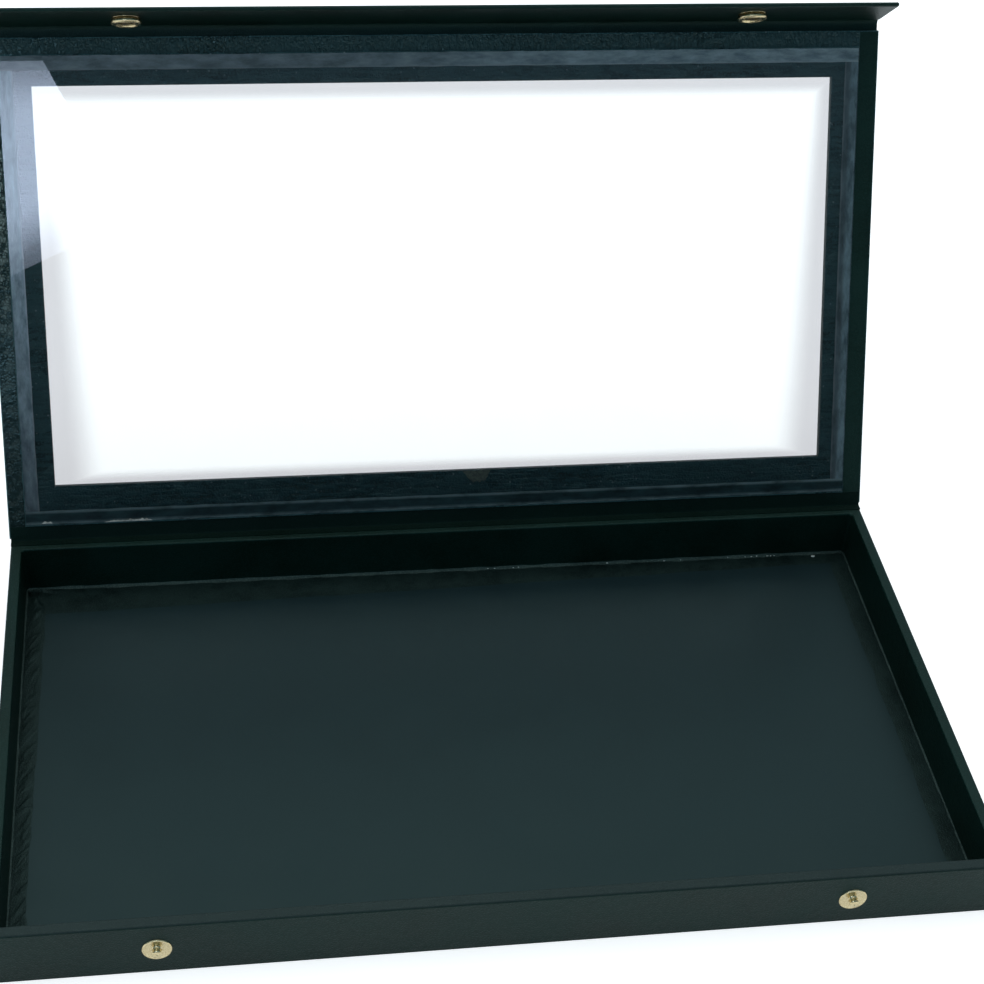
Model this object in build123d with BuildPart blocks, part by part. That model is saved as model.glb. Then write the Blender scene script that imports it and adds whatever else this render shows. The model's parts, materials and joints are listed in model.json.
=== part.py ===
from build123d import *
from math import cos, radians, sin, tan
import os

# A shallow display tray of covered board, with a windowed lid hinged along its back rim and a
# flap along the lid's front edge that snaps down over the front wall. All sizes in millimetres.
# Origin: middle of the tray's underside. X runs along the case, Y to the back, Z up.

os.makedirs("parts", exist_ok=True)

# Case, measured over its leatherette with the lid closed
case_width = 374.65
case_depth = 209.55
tray_height = 25.4

# Leatherette: the covering sheet, and the thinner sheet of the two hinge strips at the back
sheet = 0.4
strip_sheet = 0.3

# Tray boards
wall_board_t = 3.9
bottom_board_t = 1.5
spine_board_t = 1.0
rim_radius = 0.5           # rounding of a wall board's top edges, before it is covered

# Floor: a covered card laid between the walls
floor_card_t = 0.7
floor_clearance = 0.5      # from the covered card to each wall

# Back hinge
hinge_setback = 0.6        # hinge line, in from the tray's back face
lid_open = 116.0           # degrees from closed, the stop that the photograph shows
inner_strip_on_rim = 3.2   # from the hinge line towards the front
inner_strip_on_lid = 6.0
outer_strip_on_spine = 10.0
strip_fold_radius = 0.3    # centre line of the outer strip, where it turns

# Lid
lid_overhang = 0.6         # the lid is this much wider than the tray at each side
lid_back_clearance = 0.8   # from the hinge line to the lid's back edge
rail_board_t = 2.6
window_side_margin = 20.2
window_front_margin = 19.3
window_back_margin = 22.3
edge_softening = 0.3       # rounding of the covered edges, under one sheet

# Pane and the tape that holds it on the lid's inner face
pane_t = 1.2
pane_side_margin = 8.1
pane_side_shift = -0.7     # the pane was laid a little to the left
pane_front_margin = 7.2
pane_back_margin = 6.0     # from the lid's back edge
tape_t = 0.2
tape_width = 5.8

# Flap, measured from its fold line
flap_fold = 76.5           # degrees from flat with the lid, as the photograph shows it
flap_board_t = 1.0
flap_floor_gap = 0.8       # from the closed flap's free edge to the table
flap_strip_reach = 3.0     # flexible length each side of the fold line, curved as it lies
groove_flat = 0.4          # straight end of the flexible groove, before the flap's board

# Snaps
snap_spacing = 256.4
snap_height = 12.7         # above the table, on the front wall
snap_clearance = 0.4       # between a closed socket and its stud's rim
snap_radius = 6.0
stud_rim_t = 0.5
stud_dish_t = 0.25
stud_length = 2.8
stud_head_radius = 1.9
stud_neck_radius = 1.5
stud_head_t = 0.8
stud_undercut = 0.1        # slope under the head, which the spring sits below
rivet_radius = 0.85
rivet_clearance = 0.1
rivet_head_radius = 4.5
rivet_head_t = 0.5
rivet_tip_gap = 0.1
stud_crown_t = 0.6         # metal above the stud's hollow
socket_height = 2.7
socket_mouth_radius = 2.9
socket_lip_t = 0.4
socket_cavity_radius = 4.3
socket_base_t = 0.3
socket_waist_radius = 5.2
socket_flange_t = 0.6
socket_ring_t = 1.4
socket_ring_rounding = 0.5
spring_wire = 0.5
spring_play = 0.15         # between a stud's neck and each side of the spring
spring_lip_gap = 0.1
barrel_radius = 1.5
barrel_clearance = 0.1
barrel_flare_radius = 2.2
barrel_flare_t = 0.3
cap_dome_t = 1.0
cap_edge_t = 0.4

# Tray sizes that follow
wall_t = wall_board_t + 2 * sheet
through_wall = wall_t + 2 * sheet
spine_t = spine_board_t + sheet + strip_sheet
board_top = sheet + bottom_board_t
shell_width = case_width
shell_front = -case_depth / 2
shell_back = case_depth / 2 - spine_t
shell_depth = shell_back - shell_front
shell_middle = (shell_front + shell_back) / 2
inner_width = shell_width - 2 * wall_t
inner_depth = shell_depth - 2 * wall_t

# Hinge line and the lid's planes: the lid plane holds the hinge line, its normal points to the
# lid's inner side, and its Y runs from the hinge line to the lid's front edge
hinge_y = case_depth / 2 - hinge_setback
hinge_z = tray_height + strip_sheet
lid_plane = Plane(
    origin=(0, hinge_y, hinge_z),
    x_dir=(1, 0, 0),
    z_dir=(0, -sin(radians(lid_open)), -cos(radians(lid_open))),
)
lid_inner_level = -strip_sheet
lid_board_level = lid_inner_level - sheet
lid_outer_board_level = lid_board_level - rail_board_t
lid_outer_level = lid_outer_board_level - sheet
lid_front = case_depth - hinge_setback
lid_back = lid_back_clearance
lid_width = case_width + 2 * lid_overhang

# Fold line of the flap, in the middle of the two sheets that make its groove. Closed, the flap
# hangs so far in front of the wall that its sockets stand on the studs.
flap_inner_level = flap_board_t + sheet
fold_level = lid_outer_board_level
fold_gap = flap_inner_level + socket_height + snap_clearance + stud_rim_t
fold_from_hinge = lid_front + fold_gap
flap_turn = radians(lid_open - flap_fold)
flap_plane = Plane(
    origin=lid_plane.from_local_coords(Vector(0, fold_from_hinge, fold_level)),
    x_dir=(1, 0, 0),
    z_dir=(0, -sin(flap_turn), -cos(flap_turn)),
)
flap_drop = hinge_z - fold_level
flap_length = flap_drop - flap_floor_gap
socket_along = flap_drop - snap_height


def save(piece, name):
    """Labels a finished sub-part and writes it as one STEP file."""
    piece.part.label = name
    export_step(piece.part, f"parts/{name}.step")


def side_point(plane, along, level):
    """Returns the world (Y, Z) of a place on a tilted plane, for an outline seen from the side."""
    place = plane.from_local_coords(Vector(0, along, level))
    return (place.Y, place.Z)


# Tray walls: each is a mitred board in a channel of leatherette. A wall is drawn along X on
# its own plane, whose Y points into the tray, and cut at both ends by the mitre planes.
walls = {
    "front": (Plane((0, shell_front, 0), (1, 0, 0), (0, 0, 1)), shell_width),
    "back": (Plane((0, shell_back, 0), (-1, 0, 0), (0, 0, 1)), shell_width),
    "left": (Plane((-shell_width / 2, shell_middle, 0), (0, -1, 0), (0, 0, 1)), shell_depth),
    "right": (Plane((shell_width / 2, shell_middle, 0), (0, 1, 0), (0, 0, 1)), shell_depth),
}
snap_places = [-snap_spacing / 2, snap_spacing / 2]
stud_seats = [Plane((x, shell_front, snap_height), (1, 0, 0), (0, -1, 0)) for x in snap_places]
stud_bore = rivet_radius + rivet_clearance


def mitre_plane(seat, length, end):
    """Returns the upright plane of a wall's mitre at one end, facing along the wall."""
    corner = seat.from_local_coords(Vector(end * length / 2, 0, 0))
    facing = seat.x_dir * end + seat.y_dir
    return Plane(origin=corner, z_dir=facing)


for side, (seat, length) in walls.items():
    section = Plane(seat.from_local_coords(Vector(-length / 2, 0, 0)), seat.y_dir, seat.x_dir)

    with BuildPart() as wall_board:
        with BuildSketch(section):
            with Locations((sheet, board_top)):
                Rectangle(
                    wall_board_t, tray_height - sheet - board_top, align=(Align.MIN, Align.MIN)
                )
        extrude(amount=length)
        top_edges = wall_board.edges().filter_by(Axis(seat.origin, seat.x_dir)).group_by(Axis.Z)[-1]
        fillet(top_edges, radius=rim_radius)
        for end in (-1, 1):
            split(bisect_by=mitre_plane(seat, length, end), keep=Keep.BOTTOM)
        if side == "front":
            with Locations(*stud_seats):
                Hole(stud_bore, depth=through_wall)

    with BuildPart() as wall_cover:
        with BuildSketch(section):
            with BuildLine():
                Polyline(
                    (0, 0), (0, tray_height), (wall_t, tray_height), (wall_t, board_top),
                    (wall_t - sheet, board_top), (wall_t - sheet, tray_height - sheet),
                    (sheet, tray_height - sheet), (sheet, 0), (0, 0),
                )
            make_face()
        extrude(amount=length)
        rim_edges = wall_cover.edges().filter_by(Axis(seat.origin, seat.x_dir))
        fillet(rim_edges.group_by(Axis.Z)[-1], radius=rim_radius + sheet)
        fillet(rim_edges.group_by(Axis.Z)[-2], radius=rim_radius)
        for end in (-1, 1):
            split(bisect_by=mitre_plane(seat, length, end), keep=Keep.BOTTOM)
        if side == "front":
            with Locations(*stud_seats):
                Hole(stud_bore, depth=through_wall)

    save(wall_board, f"wall_board_{side}")
    save(wall_cover, f"wall_cover_{side}")

# Tray bottom, inside the walls' outer skins
with BuildPart() as bottom_cover:
    with BuildSketch(Plane.XY):
        with Locations((0, shell_middle)):
            Rectangle(shell_width - 2 * sheet, shell_depth - 2 * sheet)
    extrude(amount=sheet)
save(bottom_cover, "bottom_cover")

with BuildPart() as bottom_board:
    with BuildSketch(Plane.XY.offset(sheet)):
        with Locations((0, shell_middle)):
            Rectangle(shell_width - 2 * sheet, shell_depth - 2 * sheet)
    extrude(amount=bottom_board_t)
save(bottom_board, "bottom_board")

# Floor card, wrapped over its top and edges by the floor lining
pad_width = inner_width - 2 * floor_clearance
pad_depth = inner_depth - 2 * floor_clearance

with BuildPart() as floor_card:
    with BuildSketch(Plane.XY.offset(board_top)):
        with Locations((0, shell_middle)):
            Rectangle(pad_width - 2 * sheet, pad_depth - 2 * sheet)
    extrude(amount=floor_card_t)
save(floor_card, "floor_card")

with BuildPart() as floor_lining:
    with BuildSketch(Plane.XY.offset(board_top)):
        with Locations((0, shell_middle)):
            Rectangle(pad_width, pad_depth)
    extrude(amount=floor_card_t + sheet)
    fillet(floor_lining.faces().sort_by(Axis.Z)[-1].edges(), radius=edge_softening)
    with BuildSketch(Plane.XY.offset(board_top)):
        with Locations((0, shell_middle)):
            Rectangle(pad_width - 2 * sheet, pad_depth - 2 * sheet)
    extrude(amount=floor_card_t, mode=Mode.SUBTRACT)
save(floor_lining, "floor_lining")

# Spine behind the back wall: a board capped by leatherette, under the outer hinge strip
spine_seat = Plane((0, shell_back, 0), (1, 0, 0), (0, 0, 1))

with BuildPart() as spine_board:
    with BuildSketch(spine_seat.offset(sheet)):
        Rectangle(case_width - 2 * sheet, spine_board_t, align=(Align.CENTER, Align.MIN))
    extrude(amount=tray_height - 2 * sheet)
save(spine_board, "spine_board")

with BuildPart() as spine_cover:
    with BuildSketch(spine_seat):
        Rectangle(case_width, spine_board_t + sheet, align=(Align.CENTER, Align.MIN))
    extrude(amount=tray_height)
    outer_edges = spine_cover.faces().sort_by(Axis.Y)[-1].edges()
    fillet(outer_edges, radius=edge_softening)
    with BuildSketch(spine_seat.offset(sheet)):
        Rectangle(case_width - 2 * sheet, spine_board_t, align=(Align.CENTER, Align.MIN))
    extrude(amount=tray_height - 2 * sheet, mode=Mode.SUBTRACT)
save(spine_cover, "spine_cover")

# Hinge strips, drawn from the side in their rest shape. The inner strip lies on the rim and on
# the lid's inner face; the outer one lies on the spine and on the lid's back edge.
strip_start = Plane.YZ.offset(-case_width / 2)
rim_strip_level = tray_height + strip_sheet / 2
lid_strip_level = -strip_sheet / 2
# Where the strip's two legs meet: on the lid leg, at the height of the rim leg
leg_foot = (rim_strip_level - hinge_z - lid_strip_level * lid_plane.z_dir.Z) / lid_plane.y_dir.Z

with BuildPart() as inner_hinge_strip:
    with BuildSketch(strip_start):
        with BuildLine():
            Polyline(
                (hinge_y - inner_strip_on_rim, rim_strip_level),
                side_point(lid_plane, leg_foot, lid_strip_level),
                side_point(lid_plane, inner_strip_on_lid, lid_strip_level),
            )
        trace(line_width=strip_sheet)
    extrude(amount=case_width)
save(inner_hinge_strip, "inner_hinge_strip")

strip_along_edge = lid_back - strip_sheet / 2
strip_on_spine_y = case_depth / 2 - strip_sheet / 2
with BuildPart() as outer_hinge_strip:
    with BuildSketch(strip_start):
        with BuildLine():
            FilletPolyline(
                (strip_on_spine_y, tray_height - outer_strip_on_spine),
                side_point(lid_plane, strip_along_edge, lid_inner_level - strip_sheet),
                side_point(lid_plane, strip_along_edge, lid_outer_level),
                radius=strip_fold_radius,
            )
        trace(line_width=strip_sheet)
    extrude(amount=case_width)
save(outer_hinge_strip, "outer_hinge_strip")

# Lid rails: four mitred strips of board round the window
board_left = -lid_width / 2 + sheet
board_right = lid_width / 2 - sheet
board_back = lid_back + sheet
board_front = lid_front - sheet
window_left = -lid_width / 2 + window_side_margin
window_right = lid_width / 2 - window_side_margin
window_back = lid_back + window_back_margin
window_front = lid_front - window_front_margin
cut_left = window_left - sheet
cut_right = window_right + sheet
cut_back = window_back - sheet
cut_front = window_front + sheet

outer_corners = [
    (board_left, board_back), (board_right, board_back),
    (board_right, board_front), (board_left, board_front),
]
cut_corners = [
    (cut_left, cut_back), (cut_right, cut_back), (cut_right, cut_front), (cut_left, cut_front),
]
for index, side in enumerate(("back", "right", "front", "left")):
    following = (index + 1) % 4
    with BuildPart() as lid_rail:
        with BuildSketch(lid_plane.offset(lid_outer_board_level)):
            with BuildLine():
                Polyline(
                    outer_corners[index], outer_corners[following],
                    cut_corners[following], cut_corners[index], outer_corners[index],
                )
            make_face()
        extrude(amount=rail_board_t)
    save(lid_rail, f"lid_rail_{side}")

# Lid cover: outer face, edges and window reveal, with the rails' channel cut out of it
lid_middle = (lid_back + lid_front) / 2
lid_length = lid_front - lid_back
window_middle = (window_back + window_front) / 2
window_width = window_right - window_left
window_length = window_front - window_back

with BuildPart() as lid_cover:
    with BuildSketch(lid_plane.offset(lid_outer_level)):
        with Locations((0, lid_middle)):
            Rectangle(lid_width, lid_length)
        with Locations((0, window_middle)):
            Rectangle(window_width, window_length, mode=Mode.SUBTRACT)
    extrude(amount=lid_board_level - lid_outer_level)
    outer_face = lid_cover.faces().filter_by(lid_plane).sort_by(Axis((0, 0, 0), lid_plane.z_dir))[0]
    fillet(outer_face.edges(), radius=edge_softening)
    with BuildSketch(lid_plane.offset(lid_outer_board_level)):
        with Locations((0, lid_middle)):
            Rectangle(lid_width - 2 * sheet, lid_length - 2 * sheet)
        with Locations((0, window_middle)):
            Rectangle(window_width + 2 * sheet, window_length + 2 * sheet, mode=Mode.SUBTRACT)
    extrude(amount=rail_board_t, mode=Mode.SUBTRACT)
save(lid_cover, "lid_cover")

with BuildPart() as lid_lining:
    with BuildSketch(lid_plane.offset(lid_board_level)):
        with Locations((0, lid_middle)):
            Rectangle(lid_width, lid_length)
        with Locations((0, window_middle)):
            Rectangle(window_width, window_length, mode=Mode.SUBTRACT)
    extrude(amount=sheet)
    inner_face = lid_lining.faces().filter_by(lid_plane).sort_by(Axis((0, 0, 0), lid_plane.z_dir))[-1]
    fillet(inner_face.edges(), radius=edge_softening)
save(lid_lining, "lid_lining")

# Pane on its four strips of double-sided tape
pane_left = -lid_width / 2 + pane_side_margin + pane_side_shift
pane_right = lid_width / 2 - pane_side_margin + pane_side_shift
pane_back = lid_back + pane_back_margin
pane_front = lid_front - pane_front_margin

with BuildPart() as pane:
    with BuildSketch(lid_plane.offset(lid_inner_level + tape_t)):
        with Locations(((pane_left + pane_right) / 2, (pane_back + pane_front) / 2)):
            Rectangle(pane_right - pane_left, pane_front - pane_back)
    extrude(amount=pane_t)
save(pane, "pane")

tapes = {
    "back": (pane_left, pane_back, pane_right, pane_back + tape_width),
    "front": (pane_left, pane_front - tape_width, pane_right, pane_front),
    "left": (pane_left, pane_back + tape_width, pane_left + tape_width, pane_front - tape_width),
    "right": (pane_right - tape_width, pane_back + tape_width, pane_right, pane_front - tape_width),
}
for side, (left, back, right, front) in tapes.items():
    with BuildPart() as tape:
        with BuildSketch(lid_plane.offset(lid_inner_level)):
            with Locations(((left + right) / 2, (back + front) / 2)):
                Rectangle(right - left, front - back)
        extrude(amount=tape_t)
    save(tape, f"tape_{side}")

# Holes are drilled from a seat, this far each way
through_flap = flap_inner_level + 2 * sheet
# Flap: a board between its cover, which turns over the ends and the free edge, and its lining
flap_start = flap_strip_reach
flap_span = flap_length - flap_start
socket_places = [
    flap_plane.from_local_coords(Vector(x, socket_along, flap_inner_level)) for x in snap_places
]
socket_seats = [Plane(place, (1, 0, 0), flap_plane.z_dir) for place in socket_places]
barrel_bore = barrel_radius + barrel_clearance

with BuildPart() as flap_board:
    with BuildSketch(flap_plane):
        with Locations((0, flap_start)):
            Rectangle(
                lid_width - 2 * sheet, flap_span - sheet, align=(Align.CENTER, Align.MIN)
            )
    extrude(amount=flap_board_t)
    with Locations(*socket_seats):
        Hole(barrel_bore, depth=through_flap)
save(flap_board, "flap_board")

with BuildPart() as flap_cover:
    with BuildSketch(flap_plane.offset(-sheet)):
        with Locations((0, flap_start)):
            Rectangle(lid_width, flap_span, align=(Align.CENTER, Align.MIN))
    extrude(amount=flap_board_t + sheet)
    upright_edges = flap_cover.edges().filter_by(Axis((0, 0, 0), flap_plane.z_dir))
    free_corners = upright_edges.sort_by(Axis((0, 0, 0), flap_plane.y_dir))[-2:]
    fillet(free_corners, radius=sheet)
    with BuildSketch(flap_plane):
        with Locations((0, flap_start)):
            Rectangle(
                lid_width - 2 * sheet, flap_span - sheet, align=(Align.CENTER, Align.MIN)
            )
    extrude(amount=flap_board_t, mode=Mode.SUBTRACT)
    with Locations(*socket_seats):
        Hole(barrel_bore, depth=through_flap)
save(flap_cover, "flap_cover")

with BuildPart() as flap_lining:
    with BuildSketch(flap_plane.offset(flap_board_t)):
        with Locations((0, flap_start)):
            Rectangle(lid_width, flap_span, align=(Align.CENTER, Align.MIN))
    extrude(amount=sheet)
    upright_edges = flap_lining.edges().filter_by(Axis((0, 0, 0), flap_plane.z_dir))
    free_corners = upright_edges.sort_by(Axis((0, 0, 0), flap_plane.y_dir))[-2:]
    fillet(free_corners, radius=sheet)
    with Locations(*socket_seats):
        Hole(barrel_bore, depth=through_flap)
save(flap_lining, "flap_lining")

# Groove between lid and flap: cover and lining sheets glued to each other, curved at rest
groove_radius = (flap_strip_reach - groove_flat) / tan(radians(flap_fold / 2))
with BuildPart() as flap_hinge_strip:
    with BuildSketch(Plane.YZ.offset(-lid_width / 2)):
        with BuildLine():
            FilletPolyline(
                side_point(lid_plane, lid_front, fold_level),
                side_point(lid_plane, fold_from_hinge, fold_level),
                side_point(flap_plane, flap_start, 0),
                radius=groove_radius,
            )
        trace(line_width=2 * sheet)
    extrude(amount=lid_width)
save(flap_hinge_strip, "flap_hinge_strip")

# Snap studs on the front wall, and the rivets that hold them from inside the tray
stud_hollow = stud_length - stud_crown_t
stud_slope = snap_radius - 2 * stud_rim_t

with BuildPart() as stud:
    with BuildSketch(Plane.XZ):
        with BuildLine():
            Polyline(
                (stud_bore, 0), (snap_radius, 0), (snap_radius, stud_rim_t),
                (stud_slope + stud_rim_t / 2, stud_rim_t), (stud_slope, stud_dish_t),
                (stud_head_radius + stud_rim_t, stud_dish_t),
                (stud_neck_radius, stud_dish_t + stud_rim_t),
                (stud_neck_radius, stud_length - stud_head_t - stud_undercut),
                (stud_head_radius, stud_length - stud_head_t),
                (stud_head_radius, stud_length - stud_head_t / 2),
                (stud_bore, stud_length), (0, stud_length),
                (0, stud_hollow), (stud_bore, stud_hollow), (stud_bore, 0),
            )
        make_face()
    revolve(axis=Axis.Z)

with BuildPart() as snap_studs:
    with Locations(*stud_seats):
        add(stud.part)
save(snap_studs, "snap_studs")

with BuildPart() as rivet:
    with BuildSketch(Plane.XY.offset(-wall_t - rivet_head_t)):
        Circle(rivet_head_radius)
    extrude(amount=rivet_head_t)
    fillet(rivet.edges().sort_by(Axis.Z)[0], radius=rivet_head_t / 2)
    with BuildSketch(Plane.XY.offset(-wall_t)):
        Circle(rivet_radius)
    extrude(amount=wall_t + stud_hollow - rivet_tip_gap)

with BuildPart() as stud_rivets:
    with Locations(*stud_seats):
        add(rivet.part)
save(stud_rivets, "stud_rivets")

# Snap sockets on the flap's lining: a waisted ring with a mouth and a hollow behind it
ring_foot = socket_height - socket_ring_t
with BuildPart() as socket:
    with BuildSketch(Plane.XZ):
        with BuildLine():
            Polyline(
                (barrel_bore, 0), (snap_radius, 0),
                (snap_radius, socket_flange_t), (socket_waist_radius, socket_flange_t),
                (socket_waist_radius, ring_foot), (snap_radius, ring_foot),
                (snap_radius, socket_height), (socket_mouth_radius, socket_height),
                (socket_mouth_radius, socket_height - socket_lip_t),
                (socket_cavity_radius, socket_height - socket_lip_t),
                (socket_cavity_radius, socket_base_t),
                (barrel_bore, socket_base_t), (barrel_bore, 0),
            )
        make_face()
    revolve(axis=Axis.Z)
    fillet(socket.edges().group_by(Axis.Z)[-1].sort_by(SortBy.LENGTH)[-1], radius=socket_ring_rounding)

with BuildPart() as snap_sockets:
    with Locations(*socket_seats):
        add(socket.part)
save(snap_sockets, "snap_sockets")

# A spring in each socket: a closed loop of wire whose long sides clasp the stud's neck
spring_width = 2 * (stud_neck_radius + spring_play)
spring_reach = 2 * (socket_cavity_radius - spring_play)
spring_level = socket_height - socket_lip_t - spring_lip_gap - spring_wire
with BuildPart() as spring:
    with BuildSketch(Plane.XY.offset(spring_level)):
        SlotOverall(spring_reach, spring_width + 2 * spring_wire)
        SlotOverall(spring_reach - 2 * spring_wire, spring_width, mode=Mode.SUBTRACT)
    extrude(amount=spring_wire)

with BuildPart() as socket_springs:
    with Locations(*socket_seats):
        add(spring.part)
save(socket_springs, "socket_springs")

# Caps on the flap's outer face: a dome whose barrel is flared inside the socket
barrel_top = socket_base_t + barrel_flare_t
cap_foot = -(flap_inner_level + sheet)
dome_rise = cap_dome_t - cap_edge_t
dome_radius = (snap_radius**2 + dome_rise**2) / (2 * dome_rise)
with BuildPart() as cap:
    with BuildSketch(Plane.XZ):
        with BuildLine():
            Polyline(
                (0, barrel_top), (barrel_flare_radius, barrel_top),
                (barrel_flare_radius, socket_base_t), (barrel_radius, socket_base_t),
                (barrel_radius, cap_foot), (snap_radius, cap_foot),
                (snap_radius, cap_foot - cap_edge_t),
            )
            RadiusArc(
                (snap_radius, cap_foot - cap_edge_t), (0, cap_foot - cap_dome_t), radius=dome_radius
            )
            Line((0, cap_foot - cap_dome_t), (0, barrel_top))
        make_face()
    revolve(axis=Axis.Z)

with BuildPart() as snap_caps:
    with Locations(*socket_seats):
        add(cap.part)
save(snap_caps, "snap_caps")

print("lid hinge at", (0, round(hinge_y, 4), round(hinge_z, 4)))
print("flap fold at", [round(v, 4) for v in flap_plane.origin])
print("groove radius", round(groove_radius, 3))
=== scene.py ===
"""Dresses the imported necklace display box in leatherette, clear sheet, tape and pressed brass.

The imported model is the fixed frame. Every length is in metres in that frame: X runs along the
case, Y to the back, Z up. Pieces of the lid and of the flap are modelled flat, in the plane of
the lid or the flap, and are then laid in place, with their place kept in their mesh.
"""
from __future__ import annotations

import json
import logging
import math
import random
from contextlib import contextmanager
from dataclasses import dataclass
from enum import Enum
from typing import Any, Callable, Iterator, Sequence

import bmesh
import bpy
from bpy.types import Material, Node, NodeSocket, NodeTree, Object
from mathutils import Matrix, Vector, noise

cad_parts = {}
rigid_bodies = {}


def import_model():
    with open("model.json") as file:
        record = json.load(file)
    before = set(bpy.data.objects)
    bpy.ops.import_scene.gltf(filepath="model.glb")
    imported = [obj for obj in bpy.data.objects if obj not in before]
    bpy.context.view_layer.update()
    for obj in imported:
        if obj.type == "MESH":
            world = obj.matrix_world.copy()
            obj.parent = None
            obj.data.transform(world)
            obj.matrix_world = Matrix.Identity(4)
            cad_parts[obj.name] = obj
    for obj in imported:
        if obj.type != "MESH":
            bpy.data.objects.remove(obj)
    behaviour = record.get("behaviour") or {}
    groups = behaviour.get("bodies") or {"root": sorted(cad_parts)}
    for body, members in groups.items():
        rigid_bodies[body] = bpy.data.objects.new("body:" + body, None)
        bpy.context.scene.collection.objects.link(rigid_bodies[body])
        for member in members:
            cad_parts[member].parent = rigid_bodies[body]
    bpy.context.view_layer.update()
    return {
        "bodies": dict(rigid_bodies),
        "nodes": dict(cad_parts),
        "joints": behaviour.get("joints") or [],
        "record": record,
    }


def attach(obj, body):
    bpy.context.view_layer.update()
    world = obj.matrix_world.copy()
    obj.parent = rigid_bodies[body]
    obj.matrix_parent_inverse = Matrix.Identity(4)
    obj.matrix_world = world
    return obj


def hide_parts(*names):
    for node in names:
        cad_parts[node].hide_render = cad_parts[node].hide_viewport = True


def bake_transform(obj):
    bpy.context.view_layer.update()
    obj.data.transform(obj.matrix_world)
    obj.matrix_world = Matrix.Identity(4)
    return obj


log = logging.getLogger("necklace display box")

Point = tuple[float, float]
Triple = tuple[float, float, float]

MM = 0.001
# Places closer than this count as the same
TOUCH = 0.01 * MM
# A face whose normal has this share along an axis faces that way
FACING = 0.9
# Nearly all values of a noise lie between these two
NOISE_SPAN = (0.3, 0.7)
# The cells of a strip that bends, along X and round the bend
STRIP_CELLS = (3 * MM, 0.35 * MM)


class Side(Enum):
    """The four sides of the tray and of the lid, seen from the front."""

    FRONT = "front"
    BACK = "back"
    LEFT = "left"
    RIGHT = "right"

    @property
    def across(self) -> int:
        """Returns the axis that runs across a strip on this side: 0 for X, 1 for Y."""
        return 0 if self in (Side.LEFT, Side.RIGHT) else 1


class Part(Enum):
    """What a selection in edit mode is made of."""

    EDGES = "EDGE"
    FACES = "FACE"


class Finish(Enum):
    """The finishes that several pieces share, by the names of their materials."""

    GRAINED = "grained leatherette"
    CRINKLED = "crinkled leatherette"
    CREASED = "creased leatherette"
    SCUFFED = "scuffed leatherette"
    TURNED_IN = "turned-in leatherette"
    RAW_EDGE = "raw edge of leatherette"
    FOLDED = "folded leatherette"
    SMOOTH = "smooth leatherette"
    BOARD = "greyboard"
    BRASS = "plated brass"
    STEEL = "spring steel"
    PAPER = "release paper"
    GLUE = "dried glue"
    WIPED_GLUE = "dried glue, wiped thin"


# Workbench: selecting, editing and finishing meshes


def select_only(piece: Object) -> None:
    """Selects one object, makes it active and leaves everything else alone.

    Args:
        piece: The object.
    """
    bpy.ops.object.select_all(action="DESELECT")
    piece.select_set(True)
    bpy.context.view_layer.objects.active = piece


@contextmanager
def editing(piece: Object) -> Iterator[None]:
    """Opens a piece in edit mode with nothing selected, and closes it again.

    Args:
        piece: The mesh object to edit.
    """
    select_only(piece)
    bpy.ops.object.mode_set(mode="EDIT")
    bpy.ops.mesh.select_all(action="DESELECT")
    yield
    bpy.ops.object.mode_set(mode="OBJECT")


def middle_of(element: Any) -> Vector:
    """Returns the middle of an edge or a face of an edit mesh."""
    return sum((v.co for v in element.verts), Vector()) / len(element.verts)


def pick(piece: Object, part: Part, wanted: Callable[[Any], bool]) -> None:
    """Selects the parts of an open piece that pass a test, and nothing else.

    Args:
        piece: The piece, open in edit mode.
        part: Whether edges or faces are picked.
        wanted: The test, which gets each element of the edit mesh.
    """
    bpy.ops.mesh.select_mode(type=part.value)
    bpy.ops.mesh.select_all(action="DESELECT")
    mesh = bmesh.from_edit_mesh(piece.data)
    for element in getattr(mesh, part.name.lower()):
        if wanted(element):
            element.select_set(True)
    mesh.select_flush_mode()
    bmesh.update_edit_mesh(piece.data)


def apply_modifier(piece: Object, kind: str, **settings: Any) -> None:
    """Adds one modifier to a piece and applies it at once.

    Args:
        piece: The piece to finish.
        kind: The modifier's type, such as "BEVEL".
        **settings: The modifier's own settings.
    """
    select_only(piece)
    modifier = piece.modifiers.new(kind.title(), kind)
    for setting, value in settings.items():
        setattr(modifier, setting, value)
    bpy.ops.object.modifier_apply(modifier=modifier.name)


def soften(piece: Object, width: float, segments: int, sharper_than: float) -> None:
    """Rounds every edge of a piece that is sharper than an angle.

    Args:
        piece: The piece.
        width: How far each rounding reaches.
        segments: How many facets make a rounding.
        sharper_than: The angle in degrees.
    """
    apply_modifier(
        piece, "BEVEL", width=width, segments=segments, limit_method="ANGLE",
        angle_limit=math.radians(sharper_than),
    )


def lay_in_place(piece: Object, place: Matrix) -> None:
    """Moves a piece to its place and bakes that into its mesh, with its shading set.

    Args:
        piece: A piece modelled about the origin of its place.
        place: The matrix from the piece's own plane to the frame.
    """
    select_only(piece)
    piece.matrix_world = place @ piece.matrix_world
    bpy.ops.object.transform_apply(location=True, rotation=True, scale=True)
    bpy.ops.object.shade_smooth_by_angle(angle=math.radians(35))
    apply_modifier(piece, "WEIGHTED_NORMAL", mode="FACE_AREA", weight=100, keep_sharp=True)


def block(name: str, low: Sequence[float], high: Sequence[float]) -> Object:
    """Adds a block between two corners, as the start of a piece.

    Args:
        name: The piece's name.
        low: Its lowest corner.
        high: Its highest corner.

    Returns:
        The new object, with its size applied.
    """
    bpy.ops.object.select_all(action="DESELECT")
    low, high = Vector(low), Vector(high)
    bpy.ops.mesh.primitive_cube_add(size=1, location=(low + high) / 2, scale=high - low)
    bpy.ops.object.transform_apply(location=True, rotation=True, scale=True)
    piece = bpy.context.object
    piece.name = piece.data.name = name
    return piece


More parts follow.
